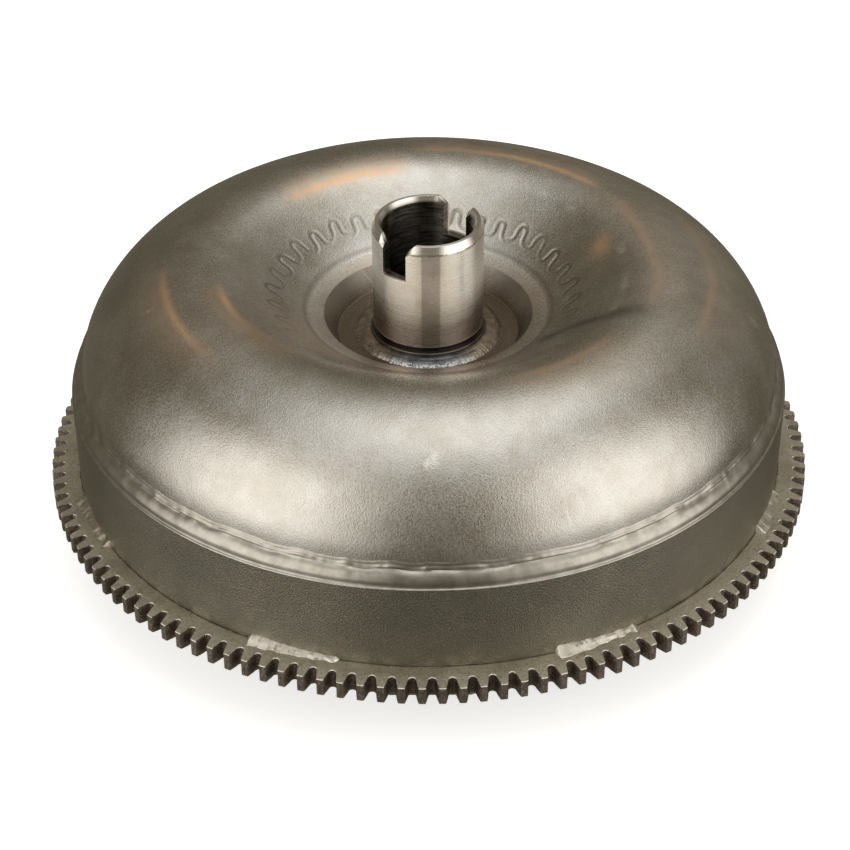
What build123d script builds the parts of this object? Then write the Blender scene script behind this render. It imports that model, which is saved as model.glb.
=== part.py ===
from build123d import *
import os
from math import cos, sin, radians, degrees, hypot

# Torque converter: welded housing with ring gear, impeller, turbine, and a stator
# on a one-way roller clutch.
# Frame: +Z towards the gearbox, origin on the converter's axis, in the plane of the
# flexplate drive pads. "Front" is the -Z side, "rear" the +Z side. Millimetres,
# degrees. Sections in the XZ plane are given as (radius, height).

os.makedirs("parts", exist_ok=True)

# ---------------------------------------------------------------- dimensions
FIT = 0.02                          # radial play between mating round parts

# front cover
COVER_R = 155.3
COVER_T = 5.0
COVER_FACE_Z = 10.0                 # flat drive face
COVER_CORNER = 12.0                 # outside radius of the rounded corner
COVER_RIM_Z = 66.8
RECESS_Z = 16.0                     # outside face of the central recess
RECESS_R0, RECESS_R1 = 85.0, 99.0   # slope between recess and drive face
COVER_INNER_Z = RECESS_Z + COVER_T  # inside face of the recess

# crankshaft pilot
PILOT_R = 22.97
PILOT_FOOT_R = 24.6
PILOT_FOOT_Z = 12.8
PILOT_END_Z = -12.0
PILOT_BORE_R = 12.5
PILOT_WELD_W, PILOT_WELD_H = 3.6, 3.0
SPIGOT_R = 15.0

# flexplate drive lugs
LUG_CIRCLE_R = 127.0
LUG_COUNT = 4
LUG_HOLE_R = 4.9
LUG_L, LUG_W = 28.0, 40.0           # radial, tangential
LUG_WELD_LEG = 4.0
LUG_WELD_INSET = 3.0                # bead stops this far short of the pad's ends

# drain plug
DRAIN_AZ = 45.0
DRAIN_HOLE_R = 5.5
DRAIN_HEAD_R, DRAIN_HEAD_H = 8.2, 5.0

# balance weights
WEIGHT_CIRCLE_R = 120.0
WEIGHT_W, WEIGHT_T = 12.0, 3.0
WEIGHTS = [(140, 26), (158, 18)]    # (azimuth, tangential length)

# starter ring gear
TEETH = 130
MODULE = 25.4 / 10                  # 10 diametral pitch
GEAR_TIP_R = (TEETH + 2) * MODULE / 2
GEAR_ROOT_R = 161.9
GEAR_Z0, GEAR_Z1 = 20.0, 29.0
GEAR_AZ = -91.1                     # middle of the first tooth
TIP_LAND = 2.8                      # width of a tooth's tip
GAP_HALF = 1.75                     # radius of the round bottom of a tooth gap
BEVEL_R, BEVEL_Z = GEAR_TIP_R + 2, 27.6   # the bevel's low end, outside the tips
GEAR_BEADS = 8
GEAR_BEAD_AZ = -110.5               # azimuth the first bead is set out from
GEAR_BEAD_SWEEP = -14.0

# impeller shell
SHELL_T = 4.0
SKIRT_R = COVER_R - COVER_T
SKIRT_Z0 = 58.0
# outside profile from the skirt to the lip of the well, (radius, height)
DOME = [
    (SKIRT_R, 69.0), (150.0, 76.0), (149.2, 82.0), (146.7, 89.0), (139.4, 100.4),
    (129.5, 109.6), (118.0, 116.2), (105.1, 120.2), (96.0, 120.8), (86.0, 119.0),
    (76.0, 113.5), (66.0, 106.6), (57.0, 100.4), (53.0, 98.3),
]
FLOOR_Z = 86.0                      # outside floor of the well round the hub
FLOOR_INNER_Z = FLOOR_Z - SHELL_T
LIP_EDGE = (46.2, 95.9)             # rim of the well
WELL_FOOT = (39.2, FLOOR_Z)
WELL_FILLET = 1.3
WELL_INSIDE = [(41.7, FLOOR_INNER_Z), (49.8, 93.3)]

# seam weld between cover and impeller shell
SEAM_INNER_R = SKIRT_R - 2.5
SEAM_TOP_Z = 77.4
# outside of the bead above its foot on the cover's rim, (radius, height)
SEAM_BEAD = [
    (COVER_R - 0.2, COVER_RIM_Z + 3.2), (153.4, 72.6), (151.6, 75.6), (149.8, SEAM_TOP_Z),
]

# pump drive hub
HUB_R = 23.8
HUB_BORE_R = 19.5
HUB_SHOULDER_R = 24.8
HUB_FLANGE_R = 32.0
HUB_Z0, HUB_Z1 = 79.0, 140.0
HUB_GROOVE_R = HUB_R - 0.7
HUB_GROOVE_Z0, HUB_GROOVE_Z1 = 89.5, 92.0
HUB_JOURNAL_Z = 92.5
SLOT_HALF = 6.0                     # half the width of the drive slots
SLOT_Z = 122.8                      # bottom of the slots
SLOT_BEVEL = 0.8
SLOT_AZ = -128.0                    # direction of one slot about Z

# torus (fluid circuit) section
TORUS_R, TORUS_Z = 100.0, 70.0      # centre of the core
CORE_R = 17.5
CORE_T = 1.5
BLADE_GAP = 0.03
CORE_CLEAR_R = CORE_R + BLADE_GAP   # where blades stop at the core rings
BLADE_T = 1.2
BLADE_INNER_R = 60.0
BLADE_BLANK_H = 52.0
STATOR_CLEAR_R = 84.0               # room kept free for the stator
STATOR_CLEAR_Z0, STATOR_CLEAR_Z1 = 59.5, 79.5

# impeller vanes
IMPELLER_BLADES = 31
IMPELLER_BLADE_R = 149.0
IMPELLER_OPEN_Z = 71.2              # edge facing the turbine
IMPELLER_SHELL_GAP = 0.15

# turbine
TURBINE_R, TURBINE_T = 45.0, 3.0    # shell section: outer radius, thickness
TURBINE_C_R, TURBINE_C_Z = 98.0, 68.0     # centre of the shell section
TURBINE_RIM_Z = 69.0
TURBINE_BORE_R = 34.0
TURBINE_FLANGE_Z = 45.4             # joint between shell and hub flange
TURBINE_BLADES = 33
TURBINE_BLADE_R = 142.0
TURBINE_VANE_R0 = 61.8              # inner ends of the trimmed vanes
TURBINE_OPEN_Z = 68.8               # edge facing the impeller

# turbine hub and rivets
TURBINE_HUB_R = 21.0
TURBINE_HUB_Z0, TURBINE_HUB_Z1 = 23.7, 51.0
TURBINE_HUB_BEVEL = 1.5
TURBINE_FLANGE_R, TURBINE_FLANGE_T = 50.0, 5.0
HUB_SPLINES, HUB_SPLINE_W = 24, 1.7
HUB_SPLINE_MINOR_R, HUB_SPLINE_MAJOR_R = 12.6, 13.5
RIVETS, RIVET_CIRCLE_R = 8, 42.0
RIVET_R = 3.0
RIVET_HEAD_R, RIVET_HEAD_H = 5.0, 2.0

# stator wheel
STATOR_BLADES = 17
STATOR_HUB_R = 56.0
STATOR_BORE_R = 47.0
STATOR_BLADE_R = 79.5
STATOR_SHROUD_R = 81.5
STATOR_Z0, STATOR_Z1 = 51.8, 78.0
STATOR_BLADE_Z0, STATOR_BLADE_Z1 = 61.0, STATOR_Z1

# one-way clutch
CAM_Z0, CAM_Z1 = 56.0, 74.0
CAM_R = 33.5
FRONT_CAP_Z0 = 53.5
REAR_CAP_Z1 = 76.4
CAP_OUTER_R = STATOR_BORE_R - FIT
SNAP_T = 1.2
SNAP_PLAY = 0.05                    # extra width of the snap ring grooves
RACE_R = 28.0
CAP_INNER_R = RACE_R + 0.35
RACE_Z0, RACE_Z1 = 53.7, 76.3
RACE_SPLINES, RACE_SPLINE_W = 28, 1.9
RACE_SPLINE_MINOR_R, RACE_SPLINE_MAJOR_R = 16.6, 18.0
SPLINE_OFFSET = 0.2                 # spline cutters are centred this far outside the bore
ROLLERS = 10
ROLLER_R = 4.0
ROLLER_CIRCLE_R = 32.04
ROLLER_Z0, ROLLER_Z1 = 57.0, 73.0
# roller pocket seen along Z, (x, y)
POCKET = [
    (28, -12.2), (36.9, -12.2), (36.9, -4.0), (36.2, 1.8), (36.1, 3.4), (35.6, 6.4), (28, 6.4),
]
SPRING_R0, SPRING_R1 = 30.2, 35.6
SPRING_Y0, SPRING_PITCH = -11.8, 1.1
SPRING_POINTS = 7
SPRING_T = 0.4
SPRING_INSET = 2.0                  # shorter than the roller by this at each end

# thrust washers
IMPELLER_WASHER_T = 2.3
COVER_WASHER_T = 2.5
STATOR_WASHER_T = 2.2


# ------------------------------------------------------------------- helpers
def save(builder, name):
    """Label the finished piece and write its STEP file."""
    part = builder.part
    part.label = name
    export_step(part, f"parts/{name}.step")


def polar(radius, azimuth):
    return (radius * cos(radians(azimuth)), radius * sin(radians(azimuth)))


def half_chord(radius, offset):
    """Half the chord of a circle at a distance from its centre."""
    return (radius**2 - offset**2) ** 0.5


def neighbours(points, i):
    return points[max(i - 1, 0)], points[min(i + 1, len(points) - 1)]


def inset(points, distance):
    """Points moved to the metal side of the dome profile."""
    moved = []
    for i, (radius, z) in enumerate(points):
        before, after = neighbours(points, i)
        run, rise = after[0] - before[0], after[1] - before[1]
        length = hypot(run, rise)
        moved.append((radius - rise / length * distance, z + run / length * distance))
    return moved


def blade_sides(outer_r, sweep, power, stations=9):
    """Two sides of a curved blade seen along Z, from the inner to the outer radius."""
    middle = []
    for i in range(stations):
        u = i / (stations - 1)
        middle.append(polar(BLADE_INNER_R + (outer_r - BLADE_INNER_R) * u, sweep * u**power))
    left, right = [], []
    for i, (x, y) in enumerate(middle):
        before, after = neighbours(middle, i)
        dx, dy = after[0] - before[0], after[1] - before[1]
        length = hypot(dx, dy)
        side_x, side_y = -dy / length * BLADE_T / 2, dx / length * BLADE_T / 2
        left.append((x + side_x, y + side_y))
        right.append((x - side_x, y - side_y))
    return left, right


def add_turned(shape, count):
    """Add the other copies of a shape evenly spaced about Z to the open builder."""
    for k in range(1, count):
        add(shape.rotate(Axis.Z, 360 / count * k))


def flat_ring(name, z, thickness, outer_r, inner_r):
    with BuildPart() as ring:
        with BuildSketch(Plane.XY.offset(z)):
            Circle(outer_r)
            Circle(inner_r, mode=Mode.SUBTRACT)
        extrude(amount=thickness)
    save(ring, name)


def snap_ring(name, z):
    """Split ring that sits in a groove of the stator's bore."""
    with BuildPart() as ring:
        with BuildSketch(Plane.XY.offset(z)):
            Circle(STATOR_BORE_R + 1.6)
            Circle(STATOR_BORE_R - 2.4, mode=Mode.SUBTRACT)
            with Locations((STATOR_BORE_R, 0)):
                Rectangle(12, 7, mode=Mode.SUBTRACT)
        extrude(amount=SNAP_T)
    save(ring, name)


def core_ring(name, open_z, side):
    """Half of the hollow core; side is +1 for the rear half, -1 for the front."""
    inner_r = CORE_R - CORE_T
    half_out = half_chord(CORE_R, open_z - TORUS_Z)
    half_in = half_chord(inner_r, open_z - TORUS_Z)
    with BuildPart() as ring:
        with BuildSketch(Plane.XZ):
            with BuildLine():
                outside = ThreePointArc(
                    (TORUS_R - half_out, open_z),
                    (TORUS_R, TORUS_Z + side * CORE_R),
                    (TORUS_R + half_out, open_z),
                )
                Line(outside @ 1, (TORUS_R + half_in, open_z))
                inside = ThreePointArc(
                    (TORUS_R + half_in, open_z),
                    (TORUS_R, TORUS_Z + side * inner_r),
                    (TORUS_R - half_in, open_z),
                )
                Line(inside @ 1, outside @ 0)
            make_face()
        revolve(axis=Axis.Z)
    save(ring, name)


def bladed_wheel(name, sides, blank_z, passage, count):
    """Upright curved blades trimmed to the revolved section of the fluid passage."""
    left, right = sides
    with BuildPart() as wheel:
        with BuildSketch(Plane.XY.offset(blank_z)):
            with BuildLine():
                left_side = Spline(*left)
                Line(left_side @ 1, right[-1])
                right_side = Spline(*reversed(right))
                Line(right_side @ 1, left_side @ 0)
            make_face()
        extrude(amount=BLADE_BLANK_H)
        revolve(passage, axis=Axis.Z, mode=Mode.INTERSECT)
        add_turned(wheel.part, count)
    save(wheel, name)


# --------------------------------------------------------------- front cover
# Pressed steel dish: rim, rounded corner, flat drive face, shallow recess.
DRAIN_AT = polar(LUG_CIRCLE_R, DRAIN_AZ)
with BuildPart() as front_cover:
    with BuildSketch(Plane.XZ):
        with BuildLine():
            corner_r = COVER_R - COVER_CORNER
            corner_z = COVER_FACE_Z + COVER_CORNER
            wall = Line((COVER_R, COVER_RIM_Z), (COVER_R, corner_z))
            corner = RadiusArc(wall @ 1, (corner_r, COVER_FACE_Z), COVER_CORNER)
            face = Polyline(
                corner @ 1, (RECESS_R1, COVER_FACE_Z), (RECESS_R0, RECESS_Z),
                (SPIGOT_R, RECESS_Z), (SPIGOT_R, COVER_INNER_Z),
                (RECESS_R0 + 2, COVER_INNER_Z), (RECESS_R1 + 1, COVER_FACE_Z + COVER_T),
                (corner_r, COVER_FACE_Z + COVER_T),
            )
            inner_corner = RadiusArc(face @ 1, (SKIRT_R, corner_z), COVER_T - COVER_CORNER)
            Polyline(inner_corner @ 1, (SKIRT_R, COVER_RIM_Z), wall @ 0)
        make_face()
    revolve(axis=Axis.Z)
    # hole of the drain plug
    with Locations((*DRAIN_AT, COVER_FACE_Z - 1)):
        Cylinder(
            DRAIN_HOLE_R, COVER_T + 3,
            align=(Align.CENTER, Align.CENTER, Align.MIN), mode=Mode.SUBTRACT,
        )
save(front_cover, "front_cover")

# Turned nose that centres the converter in the crankshaft.
with BuildPart() as crank_pilot:
    with BuildSketch(Plane.XZ):
        with BuildLine():
            Polyline(
                (0, COVER_INNER_Z), (SPIGOT_R - FIT, COVER_INNER_Z),
                (SPIGOT_R - FIT, RECESS_Z), (PILOT_FOOT_R, RECESS_Z),
                (PILOT_FOOT_R, PILOT_FOOT_Z), (PILOT_R, PILOT_FOOT_Z - 0.8),
                (PILOT_R, PILOT_END_Z + 2.0), (PILOT_R - 1.2, PILOT_END_Z),
                # blind bore with a conical bottom
                (PILOT_BORE_R + 1.0, PILOT_END_Z), (PILOT_BORE_R, PILOT_END_Z + 1.0),
                (PILOT_BORE_R, PILOT_END_Z + 14.0), (0, PILOT_END_Z + 18.0), close=True,
            )
        make_face()
    revolve(axis=Axis.Z)
save(crank_pilot, "crank_pilot")

# Fillet weld round the pilot's foot.
with BuildPart() as pilot_weld:
    with BuildSketch(Plane.XZ):
        with BuildLine():
            leg = Line((PILOT_FOOT_R, RECESS_Z), (PILOT_FOOT_R, RECESS_Z - PILOT_WELD_H))
            bead = RadiusArc(leg @ 1, (PILOT_FOOT_R + PILOT_WELD_W, RECESS_Z), 7)
            Line(bead @ 1, leg @ 0)
        make_face()
    revolve(axis=Axis.Z)
save(pilot_weld, "pilot_weld")

# Four forged pads with holes for the flexplate bolts.
with BuildPart() as drive_lugs:
    with BuildSketch(Plane.XY):
        with PolarLocations(LUG_CIRCLE_R, LUG_COUNT):
            RectangleRounded(LUG_L, LUG_W, 4)
    extrude(amount=COVER_FACE_Z)
    chamfer(drive_lugs.edges().group_by(Axis.Z)[0], 0.8)
    with BuildSketch(Plane.XY):
        with PolarLocations(LUG_CIRCLE_R, LUG_COUNT):
            Circle(LUG_HOLE_R)
    extrude(amount=COVER_FACE_Z, mode=Mode.SUBTRACT)
save(drive_lugs, "drive_lugs")

# Weld beads along the two radial sides of every pad.
with BuildPart() as lug_welds:
    with BuildSketch(Plane.YZ.offset(LUG_CIRCLE_R - LUG_L / 2 + LUG_WELD_INSET)):
        for side in (1, -1):
            y = side * LUG_W / 2
            with BuildLine():
                Polyline(
                    (y, COVER_FACE_Z), (y, COVER_FACE_Z - LUG_WELD_LEG),
                    (y + side * LUG_WELD_LEG, COVER_FACE_Z), close=True,
                )
            make_face()
    extrude(amount=LUG_L - 2 * LUG_WELD_INSET)
    add_turned(lug_welds.part, LUG_COUNT)
save(lug_welds, "lug_welds")

# Drain plug, hexagon head on the drive face.
with BuildPart() as drain_plug:
    with BuildSketch(Plane.XY.offset(COVER_FACE_Z - DRAIN_HEAD_H)):
        with Locations(DRAIN_AT):
            RegularPolygon(DRAIN_HEAD_R, 6)
    extrude(amount=DRAIN_HEAD_H)
    chamfer(drain_plug.edges().group_by(Axis.Z)[0], 0.6)
    with BuildSketch(Plane.XY.offset(COVER_FACE_Z)):
        with Locations(DRAIN_AT):
            Circle(DRAIN_HOLE_R - FIT)
    extrude(amount=COVER_T)
save(drain_plug, "drain_plug")

# Two small plates on the drive face that balance the assembly.
with BuildPart() as balance_weights:
    with BuildSketch(Plane.XY.offset(COVER_FACE_Z - WEIGHT_T)):
        for azimuth, length in WEIGHTS:
            with Locations(Location((*polar(WEIGHT_CIRCLE_R, azimuth), 0), (0, 0, azimuth))):
                RectangleRounded(WEIGHT_W, length, 2)
    extrude(amount=WEIGHT_T)
save(balance_weights, "balance_weights")

# -------------------------------------------------------- starter ring gear
# Each tooth gives two tip corners, then seven points round the gap that follows.
tooth_step = 360 / TEETH
half_land = degrees(TIP_LAND / 2 / GEAR_TIP_R)
gear_outline = []
for k in range(TEETH):
    tooth = GEAR_AZ + k * tooth_step
    gear_outline += [polar(GEAR_TIP_R, tooth - half_land), polar(GEAR_TIP_R, tooth + half_land)]
    gap_x, gap_y = polar(1, tooth + tooth_step / 2)
    for j in range(7):
        angle = radians(180 * j / 6)
        across = -GAP_HALF * cos(angle)
        out = GEAR_ROOT_R + GAP_HALF - GAP_HALF * sin(angle)
        gear_outline.append((out * gap_x - across * gap_y, out * gap_y + across * gap_x))

with BuildPart() as ring_gear:
    with BuildSketch(Plane.XY.offset(GEAR_Z0)):
        with BuildLine():
            Polyline(*gear_outline, close=True)
        make_face()
        Circle(COVER_R, mode=Mode.SUBTRACT)
    extrude(amount=GEAR_Z1 - GEAR_Z0)
    # bevel on the rear face of the teeth
    with BuildSketch(Plane.XZ):
        with BuildLine():
            Polyline(
                (GEAR_ROOT_R, GEAR_Z1), (BEVEL_R, BEVEL_Z),
                (BEVEL_R, GEAR_Z1 + 2), (GEAR_ROOT_R, GEAR_Z1 + 2), close=True,
            )
        make_face()
    revolve(axis=Axis.Z, mode=Mode.SUBTRACT)
save(ring_gear, "ring_gear")

# Fillet beads that hold the rear face of the gear on the cover.
with BuildPart() as ring_gear_welds:
    for k in range(GEAR_BEADS):
        azimuth = GEAR_BEAD_AZ + 360 / GEAR_BEADS * k + GEAR_BEAD_SWEEP / 2
        with BuildSketch(Plane.XZ.rotated((0, 0, azimuth))):
            with BuildLine():
                Polyline(
                    (COVER_R, GEAR_Z1), (COVER_R + 4.2, GEAR_Z1),
                    (COVER_R + 1.6, GEAR_Z1 + 1.5), (COVER_R, GEAR_Z1 + 3.2), close=True,
                )
            make_face()
        revolve(axis=Axis.Z, revolution_arc=GEAR_BEAD_SWEEP)
save(ring_gear_welds, "ring_gear_welds")

# ------------------------------------------------------------ impeller shell
DOME_INSIDE = inset(DOME, SHELL_T)
with BuildPart() as impeller_shell:
    with BuildSketch(Plane.XZ):
        with BuildLine():
            skirt = Line((SKIRT_R, SKIRT_Z0), DOME[0])
            dome = Spline(*DOME, tangents=((0, 1), (-1, -0.40)))
            well = FilletPolyline(
                dome @ 1, LIP_EDGE, WELL_FOOT, (HUB_SHOULDER_R, FLOOR_Z), radius=WELL_FILLET
            )
            Polyline(well @ 1, (HUB_SHOULDER_R, FLOOR_INNER_Z), *WELL_INSIDE, DOME_INSIDE[-1])
            dome_inside = Spline(*reversed(DOME_INSIDE))
            Polyline(dome_inside @ 1, (SKIRT_R - SHELL_T, SKIRT_Z0), skirt @ 0)
        make_face()
    revolve(axis=Axis.Z)
save(impeller_shell, "impeller_shell")

# Closing weld between the cover's rim and the impeller shell.
with BuildPart() as seam_weld:
    with BuildSketch(Plane.XZ):
        with BuildLine():
            foot = Line((SEAM_INNER_R, COVER_RIM_Z), (COVER_R - 0.1, COVER_RIM_Z))
            bead = Spline(foot @ 1, *SEAM_BEAD)
            Polyline(bead @ 1, (SEAM_INNER_R, SEAM_TOP_Z), foot @ 0)
        make_face()
    revolve(axis=Axis.Z)
    add(impeller_shell.part, mode=Mode.SUBTRACT)
    # keep only the largest solid if the shell cuts off any scraps
    scraps = seam_weld.solids().sort_by(SortBy.VOLUME)[:-1]
    if scraps:
        add(scraps, mode=Mode.SUBTRACT)
save(seam_weld, "seam_weld")

# --------------------------------------------------------------- pump hub
# One flank of the drive slot's section with its flared mouth, (across, height).
SLOT_FLANK = [
    (SLOT_HALF + 3.6, HUB_Z1 + 1), (SLOT_HALF + 2.6, HUB_Z1), (SLOT_HALF, HUB_Z1 - 3.0),
    (SLOT_HALF, SLOT_Z + SLOT_BEVEL), (SLOT_HALF - SLOT_BEVEL, SLOT_Z),
]
with BuildPart() as pump_hub:
    with BuildSketch(Plane.XZ):
        with BuildLine():
            Polyline(
                (HUB_BORE_R, HUB_Z0), (HUB_FLANGE_R, HUB_Z0),
                (HUB_FLANGE_R, FLOOR_INNER_Z), (HUB_SHOULDER_R, FLOOR_INNER_Z),
                (HUB_SHOULDER_R, HUB_GROOVE_Z0), (HUB_GROOVE_R, HUB_GROOVE_Z0),
                (HUB_GROOVE_R, HUB_GROOVE_Z1), (HUB_R, HUB_JOURNAL_Z),
                (HUB_R, HUB_Z1 - 3.3), (HUB_R - 1.5, HUB_Z1),
                (HUB_BORE_R + 1.0, HUB_Z1), (HUB_BORE_R, HUB_Z1 - 2.3), close=True,
            )
        make_face()
    revolve(axis=Axis.Z)
    # one cut right across the hub makes both slots
    with BuildSketch(Plane.YZ.rotated((0, 0, SLOT_AZ)).offset(-30)):
        with BuildLine():
            Polyline(*[(-y, z) for y, z in SLOT_FLANK], *reversed(SLOT_FLANK), close=True)
        make_face()
    extrude(amount=60, mode=Mode.SUBTRACT)
save(pump_hub, "pump_hub")

# Weld between the hub's shoulder and the floor of the well.
with BuildPart() as hub_weld:
    with BuildSketch(Plane.XZ):
        with BuildLine():
            leg = Line((HUB_SHOULDER_R, FLOOR_Z), (HUB_SHOULDER_R, FLOOR_Z + 2.3))
            bead = Spline(leg @ 1, (27.4, 87.9), (30.0, 87.1), (31.5, FLOOR_Z))
            Line(bead @ 1, leg @ 0)
        make_face()
    revolve(axis=Axis.Z)
save(hub_weld, "hub_weld")

# Thrust washer on the front end of the pump hub.
flat_ring(
    "impeller_thrust_washer", z=HUB_Z0 - IMPELLER_WASHER_T, thickness=IMPELLER_WASHER_T,
    outer_r=30, inner_r=20.5,
)

# --------------------------------------------------- impeller vanes and core
# Half height of the core where it meets the room kept for the stator.
core_clear_h = half_chord(CORE_CLEAR_R, STATOR_CLEAR_R - TORUS_R)

shell_side = [p for p in inset(DOME, SHELL_T + IMPELLER_SHELL_GAP) if p[0] > BLADE_INNER_R]
with BuildSketch(Plane.XZ) as impeller_passage:
    with BuildLine():
        outside = Spline(*shell_side)
        stator_side = Polyline(
            outside @ 1, (shell_side[-1][0], STATOR_CLEAR_Z1),
            (STATOR_CLEAR_R, STATOR_CLEAR_Z1), (STATOR_CLEAR_R, TORUS_Z + core_clear_h),
        )
        open_r = TORUS_R + half_chord(CORE_CLEAR_R, IMPELLER_OPEN_Z - TORUS_Z)
        core_side = ThreePointArc(
            stator_side @ 1, (TORUS_R, TORUS_Z + CORE_CLEAR_R), (open_r, IMPELLER_OPEN_Z)
        )
        Line(core_side @ 1, outside @ 0)
    make_face()
bladed_wheel(
    "impeller_blades", sides=blade_sides(IMPELLER_BLADE_R, sweep=14.0, power=1.2),
    blank_z=IMPELLER_OPEN_Z, passage=impeller_passage.sketch, count=IMPELLER_BLADES,
)
core_ring("impeller_core_ring", IMPELLER_OPEN_Z, 1)

# ------------------------------------------------------------------- turbine
with BuildPart() as turbine_shell:
    with BuildSketch(Plane.XZ):
        with BuildLine():
            flange_top = TURBINE_FLANGE_Z + TURBINE_T
            inside_r = TURBINE_R - TURBINE_T
            flange_r = TURBINE_C_R - half_chord(TURBINE_R, TURBINE_C_Z - TURBINE_FLANGE_Z)
            flange_top_r = TURBINE_C_R - half_chord(inside_r, TURBINE_C_Z - flange_top)
            rim = Line(
                (TURBINE_C_R + TURBINE_R, TURBINE_RIM_Z), (TURBINE_C_R + TURBINE_R, TURBINE_C_Z)
            )
            outside = ThreePointArc(
                rim @ 1, (TURBINE_C_R, TURBINE_C_Z - TURBINE_R), (flange_r, TURBINE_FLANGE_Z)
            )
            flange = Polyline(
                outside @ 1, (TURBINE_BORE_R, TURBINE_FLANGE_Z),
                (TURBINE_BORE_R, flange_top), (flange_top_r, flange_top),
            )
            inside = ThreePointArc(
                flange @ 1, (TURBINE_C_R, TURBINE_C_Z - inside_r),
                (TURBINE_C_R + inside_r, TURBINE_C_Z),
            )
            Polyline(inside @ 1, (TURBINE_C_R + inside_r, TURBINE_RIM_Z), rim @ 0)
        make_face()
    revolve(axis=Axis.Z)
    with BuildSketch(Plane.XY.offset(TURBINE_FLANGE_Z)):
        with PolarLocations(RIVET_CIRCLE_R, RIVETS):
            Circle(RIVET_R + FIT)
    extrude(amount=TURBINE_T, mode=Mode.SUBTRACT)
save(turbine_shell, "turbine_shell")

with BuildSketch(Plane.XZ) as turbine_passage:
    with BuildLine():
        passage_r = TURBINE_R - TURBINE_T - BLADE_GAP
        outer_r = TURBINE_C_R + passage_r
        inner_z = TURBINE_C_Z - half_chord(passage_r, TURBINE_C_R - TURBINE_VANE_R0)
        rim = Line((outer_r, TURBINE_OPEN_Z), (outer_r, TURBINE_C_Z))
        outside = ThreePointArc(
            rim @ 1, (TURBINE_C_R, TURBINE_C_Z - passage_r), (TURBINE_VANE_R0, inner_z)
        )
        stator_side = Polyline(
            outside @ 1, (TURBINE_VANE_R0, STATOR_CLEAR_Z0),
            (STATOR_CLEAR_R, STATOR_CLEAR_Z0), (STATOR_CLEAR_R, TORUS_Z - core_clear_h),
        )
        open_r = TORUS_R + half_chord(CORE_CLEAR_R, TURBINE_OPEN_Z - TORUS_Z)
        core_side = ThreePointArc(
            stator_side @ 1, (TORUS_R, TORUS_Z - CORE_CLEAR_R), (open_r, TURBINE_OPEN_Z)
        )
        Line(core_side @ 1, rim @ 0)
    make_face()
bladed_wheel(
    "turbine_blades", sides=blade_sides(TURBINE_BLADE_R, sweep=-38.0, power=1.35),
    blank_z=20, passage=turbine_passage.sketch, count=TURBINE_BLADES,
)
core_ring("turbine_core_ring", TURBINE_OPEN_Z, -1)

# Hub with internal splines for the gearbox input shaft.
flange_front = TURBINE_FLANGE_Z - TURBINE_FLANGE_T
with BuildPart() as turbine_hub:
    with BuildSketch(Plane.XZ):
        with BuildLine():
            step_r = TURBINE_BORE_R - 0.1      # low step inside the shell's bore
            step_z = TURBINE_FLANGE_Z + 1.0
            Polyline(
                (HUB_SPLINE_MINOR_R, TURBINE_HUB_Z0), (TURBINE_HUB_R, TURBINE_HUB_Z0),
                (TURBINE_HUB_R, flange_front - TURBINE_HUB_BEVEL),
                (TURBINE_HUB_R + TURBINE_HUB_BEVEL, flange_front),
                (TURBINE_FLANGE_R, flange_front), (TURBINE_FLANGE_R, TURBINE_FLANGE_Z),
                (step_r, TURBINE_FLANGE_Z), (step_r, step_z), (TURBINE_HUB_R, step_z),
                (TURBINE_HUB_R, TURBINE_HUB_Z1), (HUB_SPLINE_MINOR_R, TURBINE_HUB_Z1),
                close=True,
            )
        make_face()
    revolve(axis=Axis.Z)
    with BuildSketch(Plane.XY.offset(TURBINE_HUB_Z0)):
        spline_r = HUB_SPLINE_MINOR_R + SPLINE_OFFSET
        with PolarLocations(spline_r, HUB_SPLINES):
            Rectangle(2 * (HUB_SPLINE_MAJOR_R - spline_r), HUB_SPLINE_W)
    extrude(amount=TURBINE_HUB_Z1 - TURBINE_HUB_Z0, mode=Mode.SUBTRACT)
    with BuildSketch(Plane.XY.offset(flange_front)):
        with PolarLocations(RIVET_CIRCLE_R, RIVETS):
            Circle(RIVET_R + FIT)
    extrude(amount=TURBINE_FLANGE_T, mode=Mode.SUBTRACT)
save(turbine_hub, "turbine_hub")

# Rivets through hub flange and shell: front head, shank, rear head.
with BuildPart() as turbine_rivets:
    for z, radius, length in (
        (flange_front - RIVET_HEAD_H, RIVET_HEAD_R, RIVET_HEAD_H),
        (flange_front, RIVET_R, TURBINE_FLANGE_T + TURBINE_T),
        (TURBINE_FLANGE_Z + TURBINE_T, RIVET_HEAD_R, RIVET_HEAD_H),
    ):
        with BuildSketch(Plane.XY.offset(z)):
            with PolarLocations(RIVET_CIRCLE_R, RIVETS):
                Circle(radius)
        extrude(amount=length)
    levels = turbine_rivets.edges().group_by(Axis.Z)
    chamfer(levels[0] + levels[-1], 1)
save(turbine_rivets, "turbine_rivets")

# Washer between the cover and the turbine hub.
flat_ring(
    "cover_thrust_washer", z=COVER_INNER_Z, thickness=COVER_WASHER_T, outer_r=26, inner_r=16
)

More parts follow.
